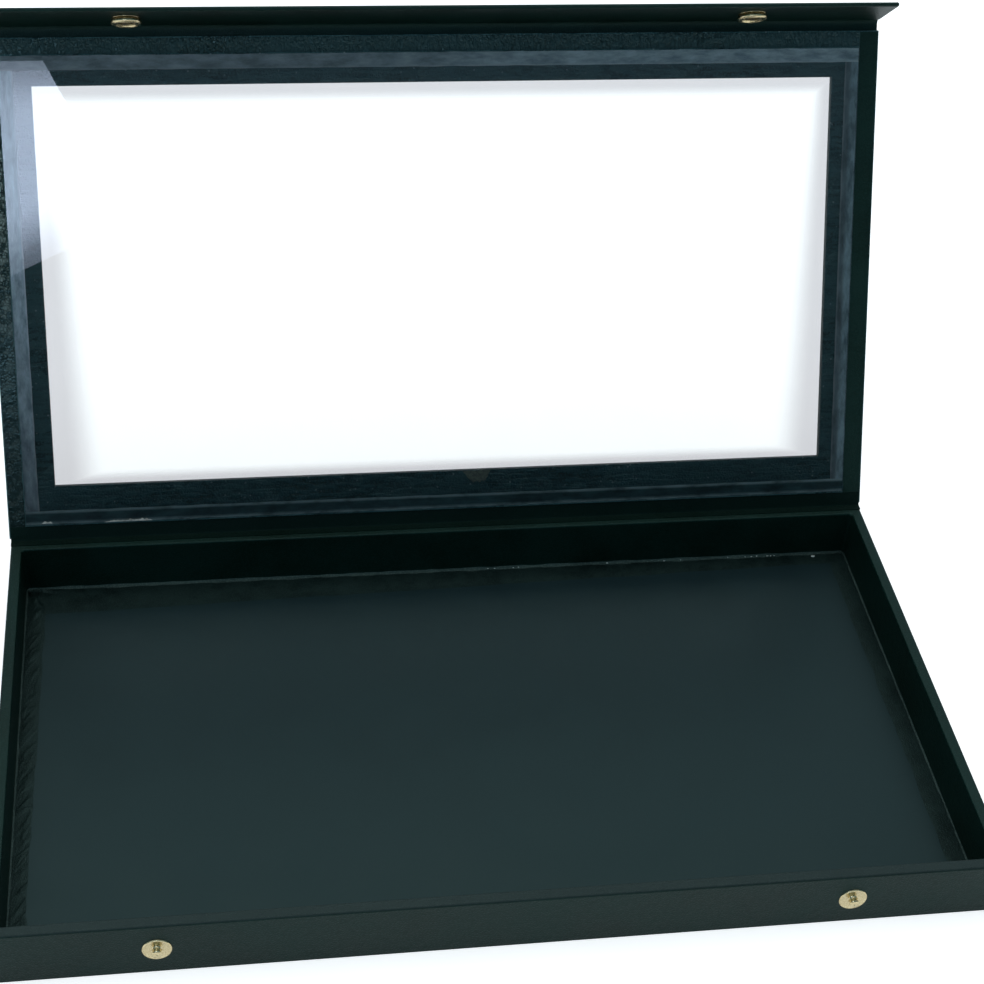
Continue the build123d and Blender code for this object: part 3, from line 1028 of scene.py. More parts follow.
@dataclass
class Tray(SubAssembly):
    """The tray: leatherette wrapped round its walls, and the covered card on its floor."""

    body: str | None = "tray"
    outer_corner: float = 1.4 * MM
    inner_corner: float = 1.7 * MM
    rim_rounding: float = 0.9 * MM
    sheet: float = 0.4 * MM
    turn_in: float = 0.45 * MM
    paper: float = 0.2 * MM
    gap: float = 0.4 * MM
    border: float = 8 * MM
    border_back: float = 11.5 * MM
    border_skew: float = 0.026
    border_taper: float = 1.8 * MM
    overlap: float = 5 * MM
    overlap_back: float = 8 * MM
    # How far the curled edge reaches from a wall, and how high it curls up
    foot_back: Point = (1.3 * MM, 0.8 * MM)
    foot_side: Point = (0.65 * MM, 0.3 * MM)
    pucker_height: float = 0.75 * MM
    # The sizes of the puckers across and along the left wall
    broad_pucker: Point = (11 * MM, 7 * MM)
    crisp_pucker: Point = (4 * MM, 3.5 * MM)
    corner_folds: int = 7
    corner_lift: float = 2.2
    corner_reach: float = 10 * MM
    corner_flat: float = 3 * MM
    pucker_ramp: float = 1.5 * MM
    paper_cell: float = 1.3 * MM
    # Each wave is its size and its depth, which is a share for the foot
    foot_wave: Point = (5 * MM, 0.5)
    sheet_cell: float = 3 * MM
    sheet_wave: Point = (30 * MM, 0.05 * MM)
    side_wander: Point = (10 * MM, 0.8 * MM)
    back_wander: Point = (16 * MM, 0.4 * MM)
    bead_count: int = 14
    # The beads' places and scales are drawn between these, and the large one has its own
    bead_run_mm: Point = (-8, 162)
    bead_off_wall_mm: Point = (0.2, 0.7)
    bead_sizes: Point = (0.5, 0.9)
    bead_stretch: Point = (1.0, 2.2)
    large_bead: Triple = (167.6 * MM, 96.0 * MM, 1.8)

    def build(self) -> None:
        """Builds and dresses every piece of the tray."""
        self.wrap()
        self.floor_turn_in()
        for side in Side:
            self.foot_edge(side)
        self.floor_sheet()
        self.glue_beads()
        self.dress_nodes(Finish.GRAINED, "bottom_cover", "spine_cover")
        self.dress_nodes(Finish.BOARD, "bottom_board", "floor_card", "spine_board")
        self.dress_nodes(Finish.BOARD, *(f"wall_board_{side.value}" for side in Side))

    def wrap(self) -> None:
        """Models the sheet over the outside, the rim and the inside of the four walls."""
        left_low, left_high = self.extent("wall_cover_left")
        low = Vector((left_low.x, self.extent("wall_cover_front")[0].y, 0))
        high = Vector((-low.x, self.extent("wall_cover_back")[1].y, left_high.z))
        wall = left_high.x - low.x
        floor = self.extent("floor_card")[0].z + self.sheet
        piece = block("tray_wrap", low, high)

        def at_corner(edge: Any, inner: bool) -> bool:
            """Tells whether an edge is one of the upright corners.

            Args:
                edge: The edge.
                inner: Whether the inner corners are meant, or the outer ones.

            Returns:
                Whether it is one of them.
            """
            a, b = (v.co for v in edge.verts)
            upright = abs(a.x - b.x) + abs(a.y - b.y) < TOUCH
            return upright and (abs(a.x) < high.x - wall / 2) == inner

        def on_rim(edge: Any) -> bool:
            """Tells whether an edge lies between the rim and a wall's face."""
            level = all(abs(v.co.z - high.z) < TOUCH for v in edge.verts)
            return level and any(abs(f.normal.z) < 1 - FACING for f in edge.link_faces)

        with editing(piece):
            pick(piece, Part.FACES, lambda f: f.normal.z > FACING)
            bpy.ops.mesh.inset(thickness=wall)
            bpy.ops.mesh.extrude_region_move(TRANSFORM_OT_translate={"value": (0, 0, floor - high.z)})
            pick(piece, Part.EDGES, lambda e: at_corner(e, inner=True))
            bpy.ops.mesh.bevel(offset=self.inner_corner, segments=5, affect="EDGES")
            pick(piece, Part.EDGES, lambda e: at_corner(e, inner=False))
            bpy.ops.mesh.bevel(offset=self.outer_corner, segments=4, affect="EDGES")
            pick(piece, Part.FACES, lambda f: f.normal.z > FACING and middle_of(f).z < high.z - TOUCH)
            bpy.ops.mesh.inset(thickness=self.turn_in)
            bpy.ops.mesh.delete(type="FACE")
            pick(piece, Part.FACES, lambda f: f.normal.z < -FACING)
            bpy.ops.mesh.delete(type="FACE")
            pick(piece, Part.EDGES, on_rim)
            bpy.ops.mesh.bevel(offset=self.rim_rounding, segments=4, affect="EDGES")
        apply_modifier(piece, "SOLIDIFY", thickness=self.sheet, offset=-1, use_even_offset=True)
        covers = [f"wall_cover_{side.value}" for side in Side]
        self.install(piece, Finish.GRAINED, "grained_leatherette", *covers)

    def floor_top(self) -> float:
        """Returns the height of the paper that is turned in on the floor."""
        return self.extent("floor_card")[1].z + self.paper

    def gathered(self, co: Vector, low: Vector, high: Vector) -> float:
        """Tells how far the turned-in paper stands up at a place.

        Args:
            co: The place.
            low: The floor's lowest corner.
            high: The floor's highest corner.

        Returns:
            The height as a share, mostly under 1, and more in the two corners.
        """
        from_left = co.x - low.x
        across = max(0.0, math.sin(math.pi * min(1.0, from_left / self.border)))
        waves = []
        for (width, length), slant, layer in ((self.broad_pucker, 1.1, 3), (self.crisp_pucker, 1.6, 8)):
            waves.append(noise.noise(Vector((co.x / width, (co.y - slant * from_left) / length, layer))))
        broad, crisp = waves
        ridge = max(0.0, 1 - 5 * abs(broad)) ** 2
        lift = across * (0.9 * max(0.0, broad) + 0.5 * max(0.0, crisp) + 0.4 * ridge)
        for corner_y in (high.y, low.y):
            away = Vector((from_left, abs(corner_y - co.y)))
            turn = math.atan2(away.y, away.x)
            bent = 2 * noise.noise(Vector((turn * 2, corner_y, 0)))
            folds = max(0.0, math.sin(self.corner_folds * turn + bent)) ** 2
            fading = math.exp(-away.length / self.corner_reach) * min(1.0, away.length / self.corner_flat)
            lift += self.corner_lift * folds * fading
        return lift

    def floor_turn_in(self) -> None:
        """Models the walls' paper turned in on the floor, gathered at the left and in its corners."""
        low, high = self.extent("floor_lining")
        top = self.floor_top()
        piece = flat_sheet("floor_turn_in", low.xy, high.xy, top, self.paper_cell)
        reach = self.border + self.overlap
        back = high.y - self.border_back - self.overlap_back
        cut_window(piece, (low.x + reach, low.y + reach), (high.x - reach, back))
        with editing(piece):
            pick(piece, Part.FACES, lambda f: middle_of(f).x < low.x + self.border + MM)
            bpy.ops.mesh.subdivide(number_cuts=2)

        def from_wall(co: Vector) -> float:
            """Returns how far a place is from the nearest wall."""
            return min(co.x - low.x, high.x - co.x, co.y - low.y, high.y - co.y)

        def puckered(co: Vector) -> Vector:
            """Lifts the paper in the border, and leaves it flat at the wall and under the sheet.

            Args:
                co: The place.

            Returns:
                The shifted place.
            """
            edge = from_wall(co)
            covered = min(1.0, max(0.0, (self.border - edge) / self.pucker_ramp)) * min(1.0, edge / MM)
            rise = self.pucker_height * self.gathered(co, low, high) * covered
            return Vector((co.x, co.y, co.z + max(0.0, rise)))

        shape_points(piece, puckered)
        with editing(piece):
            pick(piece, Part.EDGES, lambda e: e.is_boundary and from_wall(middle_of(e)) < TOUCH)
            bpy.ops.mesh.extrude_region_move(TRANSFORM_OT_translate={"value": (0, 0, low.z - top)})
        apply_modifier(piece, "SOLIDIFY", thickness=self.paper, offset=-1)
        self.install(piece, Finish.TURNED_IN, "smooth_leatherette", "floor_lining")

    def foot_edge(self, side: Side) -> None:
        """Models the edge of the turned-in paper, curled up the foot of one wall, and paler to paint its
        highlight.

        Args:
            side: The wall's side.
        """
        low, high = self.extent("floor_lining")
        reach, rise = self.foot_back if side is Side.BACK else self.foot_side
        gap = Vector((self.gap, self.gap))
        start, end = low.xy - gap, high.xy + gap
        axis = side.across
        inward = 1 if side in (Side.LEFT, Side.FRONT) else -1
        wall = (start if inward > 0 else end)[axis]
        (end if inward > 0 else start)[axis] = wall + inward * reach

        def curled(co: Vector) -> Vector:
            """Lifts the edge at the wall, and lets it run in and out.

            Args:
                co: The place.

            Returns:
                The shifted place.
            """
            away = abs(co[axis] - wall) / reach
            uneven = 1 + ripple(co, *self.foot_wave)
            moved = co.copy()
            moved[axis] = wall + inward * away * reach * uneven
            moved.z += rise * uneven * (1 - away) ** 2
            return moved

        flat = flat_sheet(f"foot_edge_{side.value}", start, end, self.floor_top(), cell=reach / 3)
        piece = thin_sheet(flat, curled, self.paper, upward=False)
        self.install(piece, Finish.RAW_EDGE, "smooth_leatherette")

    def floor_sheet(self) -> None:
        """Models the smooth sheet laid on the floor, a little crooked and short of the walls."""
        low, high = self.extent("floor_lining")
        front, back, half = low.y + self.border, high.y - self.border_back, high.x - self.border

        def laid(co: Vector) -> Vector:
            """Skews the back edge, tapers the left one and makes the edges wander.

            Args:
                co: The place.

            Returns:
                The shifted place.
            """
            share = (co.y - front) / (back - front)
            side_share = co.x / half
            drift = ripple(co, *self.side_wander) * (1 - min(1.0, 40 * (1 - abs(side_share))))
            drift += self.border_taper * (1 - share) * min(0.0, side_share)
            y = co.y + share * (self.border_skew * co.x + ripple(Vector((co.x, 0, 7)), *self.back_wander))
            return Vector((co.x + drift, y, co.z + ripple(co, *self.sheet_wave)))

        corner, opposite = (low.x + self.border, front), (half, back)
        flat = flat_sheet("floor_sheet", corner, opposite, high.z, self.sheet_cell)
        piece = thin_sheet(flat, laid, self.paper, upward=False)
        self.install(piece, Finish.SMOOTH, "smooth_leatherette", "floor_lining")

    def glue_beads(self) -> None:
        """Models dried beads of glue along the foot of the back wall, one of them larger."""
        wall = self.extent("floor_lining")[1].y
        chance = random.Random(4)
        places = []
        for _ in range(self.bead_count):
            x, off_wall = chance.uniform(*self.bead_run_mm) * MM, chance.uniform(*self.bead_off_wall_mm) * MM
            places.append((x, wall - off_wall, chance.uniform(*self.bead_sizes)))
        places.append(self.large_bead)
        outline = [(0, 0), (0.3, 0), (0.33, 0.08), (0.26, 0.2), (0.12, 0.28), (0, 0.3)]
        model = turned("glue_bead", outline, steps=12)
        for number, (x, y, size) in enumerate(places, start=1):
            piece = copy_of(model, f"glue_bead_{number}")
            lift = 0.3 * self.foot_back[1] if y > wall - self.foot_back[0] else 0
            spread = Matrix.Diagonal((size * chance.uniform(*self.bead_stretch), size, size, 1))
            lay_in_place(piece, Matrix.Translation((x, y, self.floor_top() + lift)) @ spread)
            hand_over(piece, self.finishes[Finish.GLUE], self.body, ())
        bpy.data.objects.remove(model)


# Lid


@dataclass
class Lid(SubAssembly):
    """The lid: covered rails, the lining of their inner face, the taped pane and its scraps."""

    body: str | None = "lid"
    lining_cell: float = 2.5 * MM
    lining_wave: float = 0.10 * MM
    lining_wave_size: float = 11 * MM
    lining_edge: float = 0.15 * MM
    edge_strip_t: float = 0.15 * MM
    edge_strip_margin: float = 0.5 * MM
    edge_strip_cell: float = 1.2 * MM
    edge_strip_band: float = 2 * MM
    # Each wave is its size and its depth
    edge_strip_wander: Point = (6 * MM, 0.25 * MM)
    edge_strip_swell: Point = (4 * MM, 0.03 * MM)
    pane_arris: float = 0.12 * MM
    tape_bond: float = 0.05 * MM
    tape_cell: float = 0.9 * MM
    tape_wander: Point = (9 * MM, 0.2 * MM)
    # Where a scrap starts and ends along the pane, and how far it lies from the pane's back edge
    long_scrap: Triple = (-147.8 * MM, -127.4 * MM, 0.15 * MM)
    short_scrap: Triple = (-174.1 * MM, -169.5 * MM, 0.55 * MM)
    scrap_depth: float = 1.5 * MM
    scrap_t: float = 0.08 * MM
    scrap_cell: float = 0.25 * MM
    scrap_bite: float = 1.7 * MM
    smear_ends: Point = (6.5 * MM, 19 * MM)
    smear_depth: float = 5 * MM
    smear_t: float = 0.03 * MM
    smear_cell: float = 0.4 * MM
    smear_fray: tuple[Point, Point] = ((1.5 * MM, 1 * MM), (2.2 * MM, 1.2 * MM))

    @property
    def plane(self) -> Matrix:
        """Returns the matrix from the lid's plane to the frame."""
        return self.frame.lid

    def build(self) -> None:
        """Builds and dresses every piece of the lid."""
        self.dress_nodes(Finish.GRAINED, "lid_cover")
        self.dress_nodes(Finish.BOARD, *(f"lid_rail_{side.value}" for side in Side))
        for side in Side:
            self.tape(side)
        self.line()
        self.edge_strips()
        self.glaze()
        self.scraps()
        self.smear()

    def window(self) -> tuple[Point, Point]:
        """Measures the window.

        Returns:
            The window's lowest and highest corner in the lid's plane.
        """
        low, high = self.extent("lid_lining")
        sheet = high.z - low.z
        left, back = self.extent("lid_rail_left")[1].x + sheet, self.extent("lid_rail_back")[1].y + sheet
        return (left, back), (-left, self.extent("lid_rail_front")[0].y - sheet)

    def line(self) -> None:
        """Models the lining of the inner face, cut out round the window, not quite flat."""
        low, high = self.extent("lid_lining")
        half_wave = self.lining_wave / 2
        piece = flat_sheet("lid_inner_lining", low.xy, high.xy, high.z, self.lining_cell)
        cut_window(piece, *self.window())
        size = self.lining_wave_size
        shape_points(piece, lambda co: co + Vector((0, 0, ripple(co, size, half_wave) - half_wave)))
        apply_modifier(
            piece, "SOLIDIFY", thickness=high.z - low.z - self.lining_wave, offset=-1, use_even_offset=True
        )
        soften(piece, self.lining_edge, segments=2, sharper_than=50)
        self.install(piece, Finish.CRINKLED, "grained_leatherette", "lid_lining")

    def edge_strips(self) -> None:
        """Models the cover's turned-in edges, which show as strips beside the pane."""
        low, high = self.extent("lid_lining")
        pane_low, pane_high = self.extent("pane")
        margin = self.edge_strip_margin
        inset = Vector((margin, margin))
        start, end = low.xy + inset, high.xy - inset
        left, right = pane_low.x - margin, pane_high.x + margin
        for side, finish, corner, opposite in (
            # The left strip's finish has the glints of the bright window painted in
            (Side.LEFT, Finish.SCUFFED, start, (left, end.y)),
            (Side.RIGHT, Finish.GRAINED, (right, start.y), end),
            (Side.FRONT, Finish.CREASED, (left, pane_high.y + margin), (right, end.y)),
        ):
            axis = side.across
            inner = opposite[0] if side is Side.LEFT else corner[axis]

            def uneven(co: Vector) -> Vector:
                """Lets the surface swell a little and the inner edge wander.

                Args:
                    co: The place.

                Returns:
                    The shifted place.
                """
                near = 1 - min(1.0, abs(co[axis] - inner) / self.edge_strip_band)
                moved = wander(co, axis, near, *self.edge_strip_wander)
                moved.z += ripple(co, *self.edge_strip_swell)
                return moved

            name = f"lid_edge_strip_{side.value}"
            flat = flat_sheet(name, corner, opposite, high.z, self.edge_strip_cell)
            piece = thin_sheet(flat, uneven, self.edge_strip_t, upward=True)
            self.install(piece, finish, "grained_leatherette")

    def glaze(self) -> None:
        """Models the clear pane with its arrises taken off."""
        # The pane's material paints the shadow seen through the window near its edges
        sheet = ClearSheet("clear acrylic", *self.window(), tuple(self.frame.hinge), self.plane.to_euler().x)
        piece = block("window_pane", *self.extent("pane"))
        soften(piece, self.pane_arris, segments=2, sharper_than=40)
        self.install(piece, sheet.build(), "clear_sheet", "pane")

    def tape(self, side: Side) -> None:
        """Models one strip of tape, pressed against the pane, with slightly uneven edges.

        Args:
            side: The strip's side.
        """
        node = f"tape_{side.value}"
        low, high = self.extent(node)
        # The front and left strips are the milkiest, and the back one is nearly clear but for its edges
        looks = {
            Side.FRONT: {
                "ground": "#6e8b93", "milk": "#bfdbe2", "fade": (-60 * MM, 80 * MM), "fade_share": 0.55,
            },
            Side.RIGHT: {"inner_share": 0.45},
            # The left strip is painted darker towards the hinge, for the shade down the lid
            Side.LEFT: {
                "ground": "#557680", "milk": "#a5c8d0", "fade": (10 * MM, 115 * MM), "fade_share": 0.38,
                "roughness": 0.25, "specular": 1.0,
            },
            Side.BACK: {
                "ground": "#0d2628", "milk": "#2c5054", "line": "#93adaf", "line_width": 1.5 * MM,
                "outer_line": 0.6, "specular": 0.3,
            },
        }[side]
        film = FilmTape(
            f"film tape, {side.value}", low[:2], high[:2], tuple(self.frame.hinge), self.plane.to_euler().x,
            side, **looks,
        )
        axis = side.across
        middle = (low[axis] + high[axis]) / 2

        def uneven(co: Vector) -> Vector:
            """Lets both edges of the strip wander, and its middle stay."""
            return wander(co, axis, abs(co[axis] - middle) / (high[axis] - middle), *self.tape_wander)

        flat = flat_sheet(f"{node}_strip", low.xy, high.xy, low.z, self.tape_cell)
        piece = thin_sheet(flat, uneven, high.z - low.z + self.tape_bond, upward=True)
        self.install(piece, film.build(), "double_sided_tape", node)

    def scraps(self) -> None:
        """Models torn ends of backing paper, curled up on the pane's back edge."""
        low, high = self.extent("pane")
        for name, place, seed in (("long", self.long_scrap, 4.0), ("short", self.short_scrap, 9.0)):
            start, end, foot = place
            back = low.y + foot

            def torn(co: Vector) -> Vector:
                """Bites into the scrap's front edge and curls it up.

                Args:
                    co: The place.

                Returns:
                    The shifted place.
                """
                share, depth = (co.x - start) / (end - start), co.y - back
                bite = 0.45 + 1.1 * abs(noise.noise(Vector((co.x / self.scrap_bite, seed, 0))))
                taper = min(1.0, 5 * share, 8 * (1 - share))
                curl = 0.45 * (depth / MM) ** 2 * (0.6 + 0.4 * math.sin(9 * share + seed))
                return Vector((co.x, back + depth * bite * taper, co.z + curl * MM * taper))

            reach, level = (end, back + self.scrap_depth), high.z + 2 * TOUCH
            flat = flat_sheet(f"paper_scrap_{name}", (start, back), reach, level, self.scrap_cell)
            piece = thin_sheet(flat, torn, self.scrap_t, upward=True)
            self.install(piece, Finish.PAPER, "double_sided_tape")

    def smear(self) -> None:
        """Models a thin wedge of dried glue, wiped over the pane at the window's back edge."""
        edge = self.window()[0][1]
        (left, right), depth = self.smear_ends, self.smear_depth
        sideways, lengthways = self.smear_fray

        def wiped(co: Vector) -> Vector:
            """Narrows the wedge towards the back and frays it.

            Args:
                co: The place.

            Returns:
                The shifted place.
            """
            share = (edge - co.y) / depth
            narrowed = 0.35 * (right - left) - 0.55 * (co.x - left)
            x = co.x + share * (narrowed + ripple(co, *sideways))
            return Vector((x, co.y + share * ripple(co, *lengthways), co.z))

        level = self.extent("pane")[1].z + TOUCH
        flat = flat_sheet("glue_smear", (left, edge - depth), (right, edge), level, self.smear_cell)
        piece = thin_sheet(flat, wiped, self.smear_t, upward=True)
        self.install(piece, Finish.WIPED_GLUE, "double_sided_tape")


# Strips that bend


@dataclass
class HingeStrips(SubAssembly):
    """The leatherette that joins the tray to the lid, and the lid to the flap."""

    strip: float = 0.3 * MM
    fold_radius: float = 0.35 * MM
    fold_past_hinge: float = 0.07 * MM
    # How far a strip bends before the hinge and after it
    inner_bend: Point = (0.8 * MM, 1.0 * MM)
    outer_bend: Point = (0.6 * MM, 1.3 * MM)
    groove_radius: float = 3.3 * MM

    def build(self) -> None:
        """Builds the two strips of the back hinge and the groove of the flap."""
        self.inner()
        self.outer()
        self.groove()

    def on_lid(self, along: float, level: float) -> Point:
        """Returns the (y, z) of a place in the lid's plane."""
        place = self.frame.lid @ Vector((0, along, level))
        return (place.y, place.z)

    def inner(self) -> None:
        """Models the strip on the back rim that turns up the lid's inner face."""
        low, high = self.extent("inner_hinge_strip")
        reach = self.frame.extent("inner_hinge_strip", self.frame.lid)[1].y
        middle = self.strip / 2
        hinge = self.frame.hinge
        rim = hinge.z - middle
        bends = [(low.y, rim), (hinge.y + self.fold_past_hinge, rim), self.on_lid(reach, -middle)]
        path = rounded_path(bends, self.fold_radius)
        piece = strip_along("hinge_strip_inner", high.x, path, self.strip)
        self.install(piece, Finish.FOLDED, "grained_leatherette", "inner_hinge_strip")
        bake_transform(piece)

    def outer(self) -> None:
        """Models the strip from the spine over the lid's back edge."""
        low, high = self.extent("outer_hinge_strip")
        cover = self.frame.extent("lid_cover", self.frame.lid)[0]
        middle = self.strip / 2
        spine = self.extent("spine_cover")[1].y + middle
        along = cover.y - middle
        bends = [(spine, low.z), self.on_lid(along, -2 * self.strip), self.on_lid(along, cover.z)]
        path = rounded_path(bends, self.fold_radius)
        piece = strip_along("hinge_strip_outer", high.x, path, self.strip)
        self.install(piece, Finish.GRAINED, "grained_leatherette", "outer_hinge_strip")
        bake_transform(piece)

    def groove(self) -> None:
        """Models the two sheets glued face to face that the flap folds on."""
        cover_low, cover_high = self.frame.extent("lid_cover", self.frame.lid)
        rail = self.frame.extent("lid_rail_front", self.frame.lid)[0].z
        board = self.frame.extent("flap_board", self.frame.flap)[0].y
        start = self.on_lid(cover_high.y, rail)
        fold = self.frame.flap.translation
        end = self.frame.flap @ Vector((0, board, 0))
        path = rounded_path([start, (fold.y, fold.z), (end.y, end.z)], self.groove_radius, steps=16)
        piece = strip_along("flap_groove", cover_high.x, path, 2 * (rail - cover_low.z))
        self.install(piece, Finish.GRAINED, "grained_leatherette", "flap_hinge_strip")
        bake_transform(piece)


# Flap


@dataclass
class Flap(SubAssembly):
    """The snap-down flap: a board in its own wrap of leatherette."""

    body: str | None = "flap"
    free_edge: float = 0.85 * MM
    end_rounding: float = 0.6 * MM

    @property
    def plane(self) -> Matrix:
        """Returns the matrix from the flap's plane to the frame."""
        return self.frame.flap

    def build(self) -> None:
        """Models the wrap round the flap's board and dresses the board."""
        low, high = self.extent("flap_cover")
        piece = block("flap_wrap", low, (high.x, high.y, self.extent("flap_lining")[1].z))

        def at_free_edge(edge: Any) -> bool:
            """Tells whether an edge is one of the two long ones at the flap's free edge."""
            a, b = (v.co for v in edge.verts)
            return min(a.y, b.y) > high.y - TOUCH and abs(a.x - b.x) > MM

        with editing(piece):
            pick(piece, Part.EDGES, at_free_edge)
            bpy.ops.mesh.bevel(offset=self.free_edge, segments=5, affect="EDGES")
        soften(piece, self.end_rounding, segments=4, sharper_than=60)
        self.install(piece, Finish.GRAINED, "grained_leatherette", "flap_cover", "flap_lining")
        self.dress_nodes(Finish.BOARD, "flap_board")


# Snaps


@dataclass
class Snaps(SubAssembly):
    """The two snaps: studs riveted to the front wall, sockets and caps on the flap."""

    radius: float = 6.0 * MM
    edge: float = 0.10 * MM

    def build(self) -> None:
        """Turns one of each snap part, and sets a copy of it at each of its two places."""
        studs, sockets = self.stud_places(), self.socket_places()
        self.pair("snap_stud", self.stud_outline(), studs, "tray")
        self.pair("stud_rivet", self.rivet_outline(), studs, "tray")
        self.pair("snap_socket", self.socket_outline(), sockets, "flap")
        self.pair("snap_cap", self.cap_outline(), sockets, "flap")
        self.dress_nodes(Finish.STEEL, "socket_springs")

    def stud_places(self) -> list[Matrix]:
        """Finds the places of the studs.

        Returns:
            Their matrices, with Z pointing out of the front wall.
        """
        low, high = self.extent("snap_studs")
        wall = self.extent("wall_cover_front")[0].y
        turn = Matrix.Rotation(math.pi / 2, 4, "X")
        middle, ends = (low.z + high.z) / 2, (low.x + self.radius, high.x - self.radius)
        return [Matrix.Translation((x, wall, middle)) @ turn for x in ends]

    def socket_places(self) -> list[Matrix]:
        """Finds the places of the sockets.

        Returns:
            Their matrices, with Z pointing out of the flap's inner face.
        """
        flap = self.frame.flap
        low, high = self.frame.extent("snap_sockets", flap)
        middle, ends = (low.y + high.y) / 2, (low.x + self.radius, high.x - self.radius)
        return [flap @ Matrix.Translation((x, middle, low.z)) for x in ends]

    def stud_outline(self) -> list[Point]:
        """Returns the stud's outline in millimetres: a rolled rim, a dished plate and a headed post."""
        return [
            (0, 0), (5.36, 0), (5.4, 0.14), (5.3, 0.34), (5.08, 0.46), (4.8, 0.48), (4.55, 0.4), (4.3, 0.27),
            (3.6, 0.2), (2.7, 0.17), (2.2, 0.12), (1.95, 0.12), (1.7, 0.3), (1.55, 0.7), (1.5, 1.3),
            (1.5, 1.8), (1.72, 1.98), (1.92, 2.15), (1.92, 2.35), (1.72, 2.58), (1.35, 2.73), (0.9, 2.8),
            (0.45, 2.78), (0.3, 2.62), (0, 2.58),
        ]

    def rivet_outline(self) -> list[Point]:
        """Draws the rivet: its flat round head, behind the front wall, and its shank.

        Returns:
            The outline in millimetres.
        """
        wall = self.extent("wall_cover_front")
        back = (wall[0].y - wall[1].y) / MM
        return [
            (0, back - 0.5), (3.9, back - 0.5), (4.35, back - 0.38), (4.5, back - 0.2), (4.5, back),
            (0.85, back), (0.85, 0.05), (0, 0.05),
        ]

    def socket_outline(self) -> list[Point]:
        """Draws the socket: a base flange, a waist, a rolled ring and the hollow behind its lip.

        Returns:
            The outline in millimetres.
        """
        turns = [math.radians(angle) for angle in range(-100, 161, 20)]
        return [
            (1.6, 0), (5.7, 0), (5.9, 0.12), (5.85, 0.3), (5.5, 0.42), (4.9, 0.5), (4.6, 0.62), (4.6, 0.72),
            *((5.3 + 0.97 * math.cos(turn), 1.72 + 0.97 * math.sin(turn)) for turn in turns),
            (3.9, 1.98), (3.2, 2.0), (2.9, 2.2), (2.65, 2.28), (2.45, 2.15), (2.4, 1.8), (2.5, 1.6),
            (4.3, 1.5), (4.3, 0.45), (4.1, 0.3), (1.6, 0.3), (1.6, 0),
        ]

    def cap_outline(self) -> list[Point]:
        """Draws the cap: a low dome on the flap's outer face, and the barrel behind it.

        Returns:
            The outline in millimetres.
        """
        inner = self.frame.extent("flap_lining", self.frame.flap)[1].z
        foot = (self.frame.extent("flap_cover", self.frame.flap)[0].z - inner) / MM
        turns = (0.0, 0.25, 0.55, 0.9, 1.25)
        dome = [(6.0 * math.cos(turn), foot - 0.4 - 0.6 * math.sin(turn)) for turn in turns]
        return [
            (0, 0.6), (2.0, 0.6), (2.2, 0.5), (2.1, 0.3), (1.5, 0.3), (1.5, foot), (5.9, foot),
            (6.0, foot - 0.1), *dome, (0, foot - 1.0),
        ]

    def pair(self, name: str, outline: Sequence[Point], places: Sequence[Matrix], body: str) -> None:
        """Sets two copies of a turned part, each with a mesh of its own.

        Args:
            name: The name that the copies share. The CAD node that they stand for is its plural.
            outline: The part's outline in millimetres.
            places: Where the copies go.
            body: The body that they ride on.
        """
        model = turned(name, outline)
        soften(model, self.edge, segments=2, sharper_than=50)
        for side, place in zip((Side.LEFT, Side.RIGHT), places):
            piece = copy_of(model, f"{name}_{side.value}")
            lay_in_place(piece, place)
            hand_over(piece, self.finishes[Finish.BRASS], body, [f"{name}s"])
        bpy.data.objects.remove(model)


# Studio


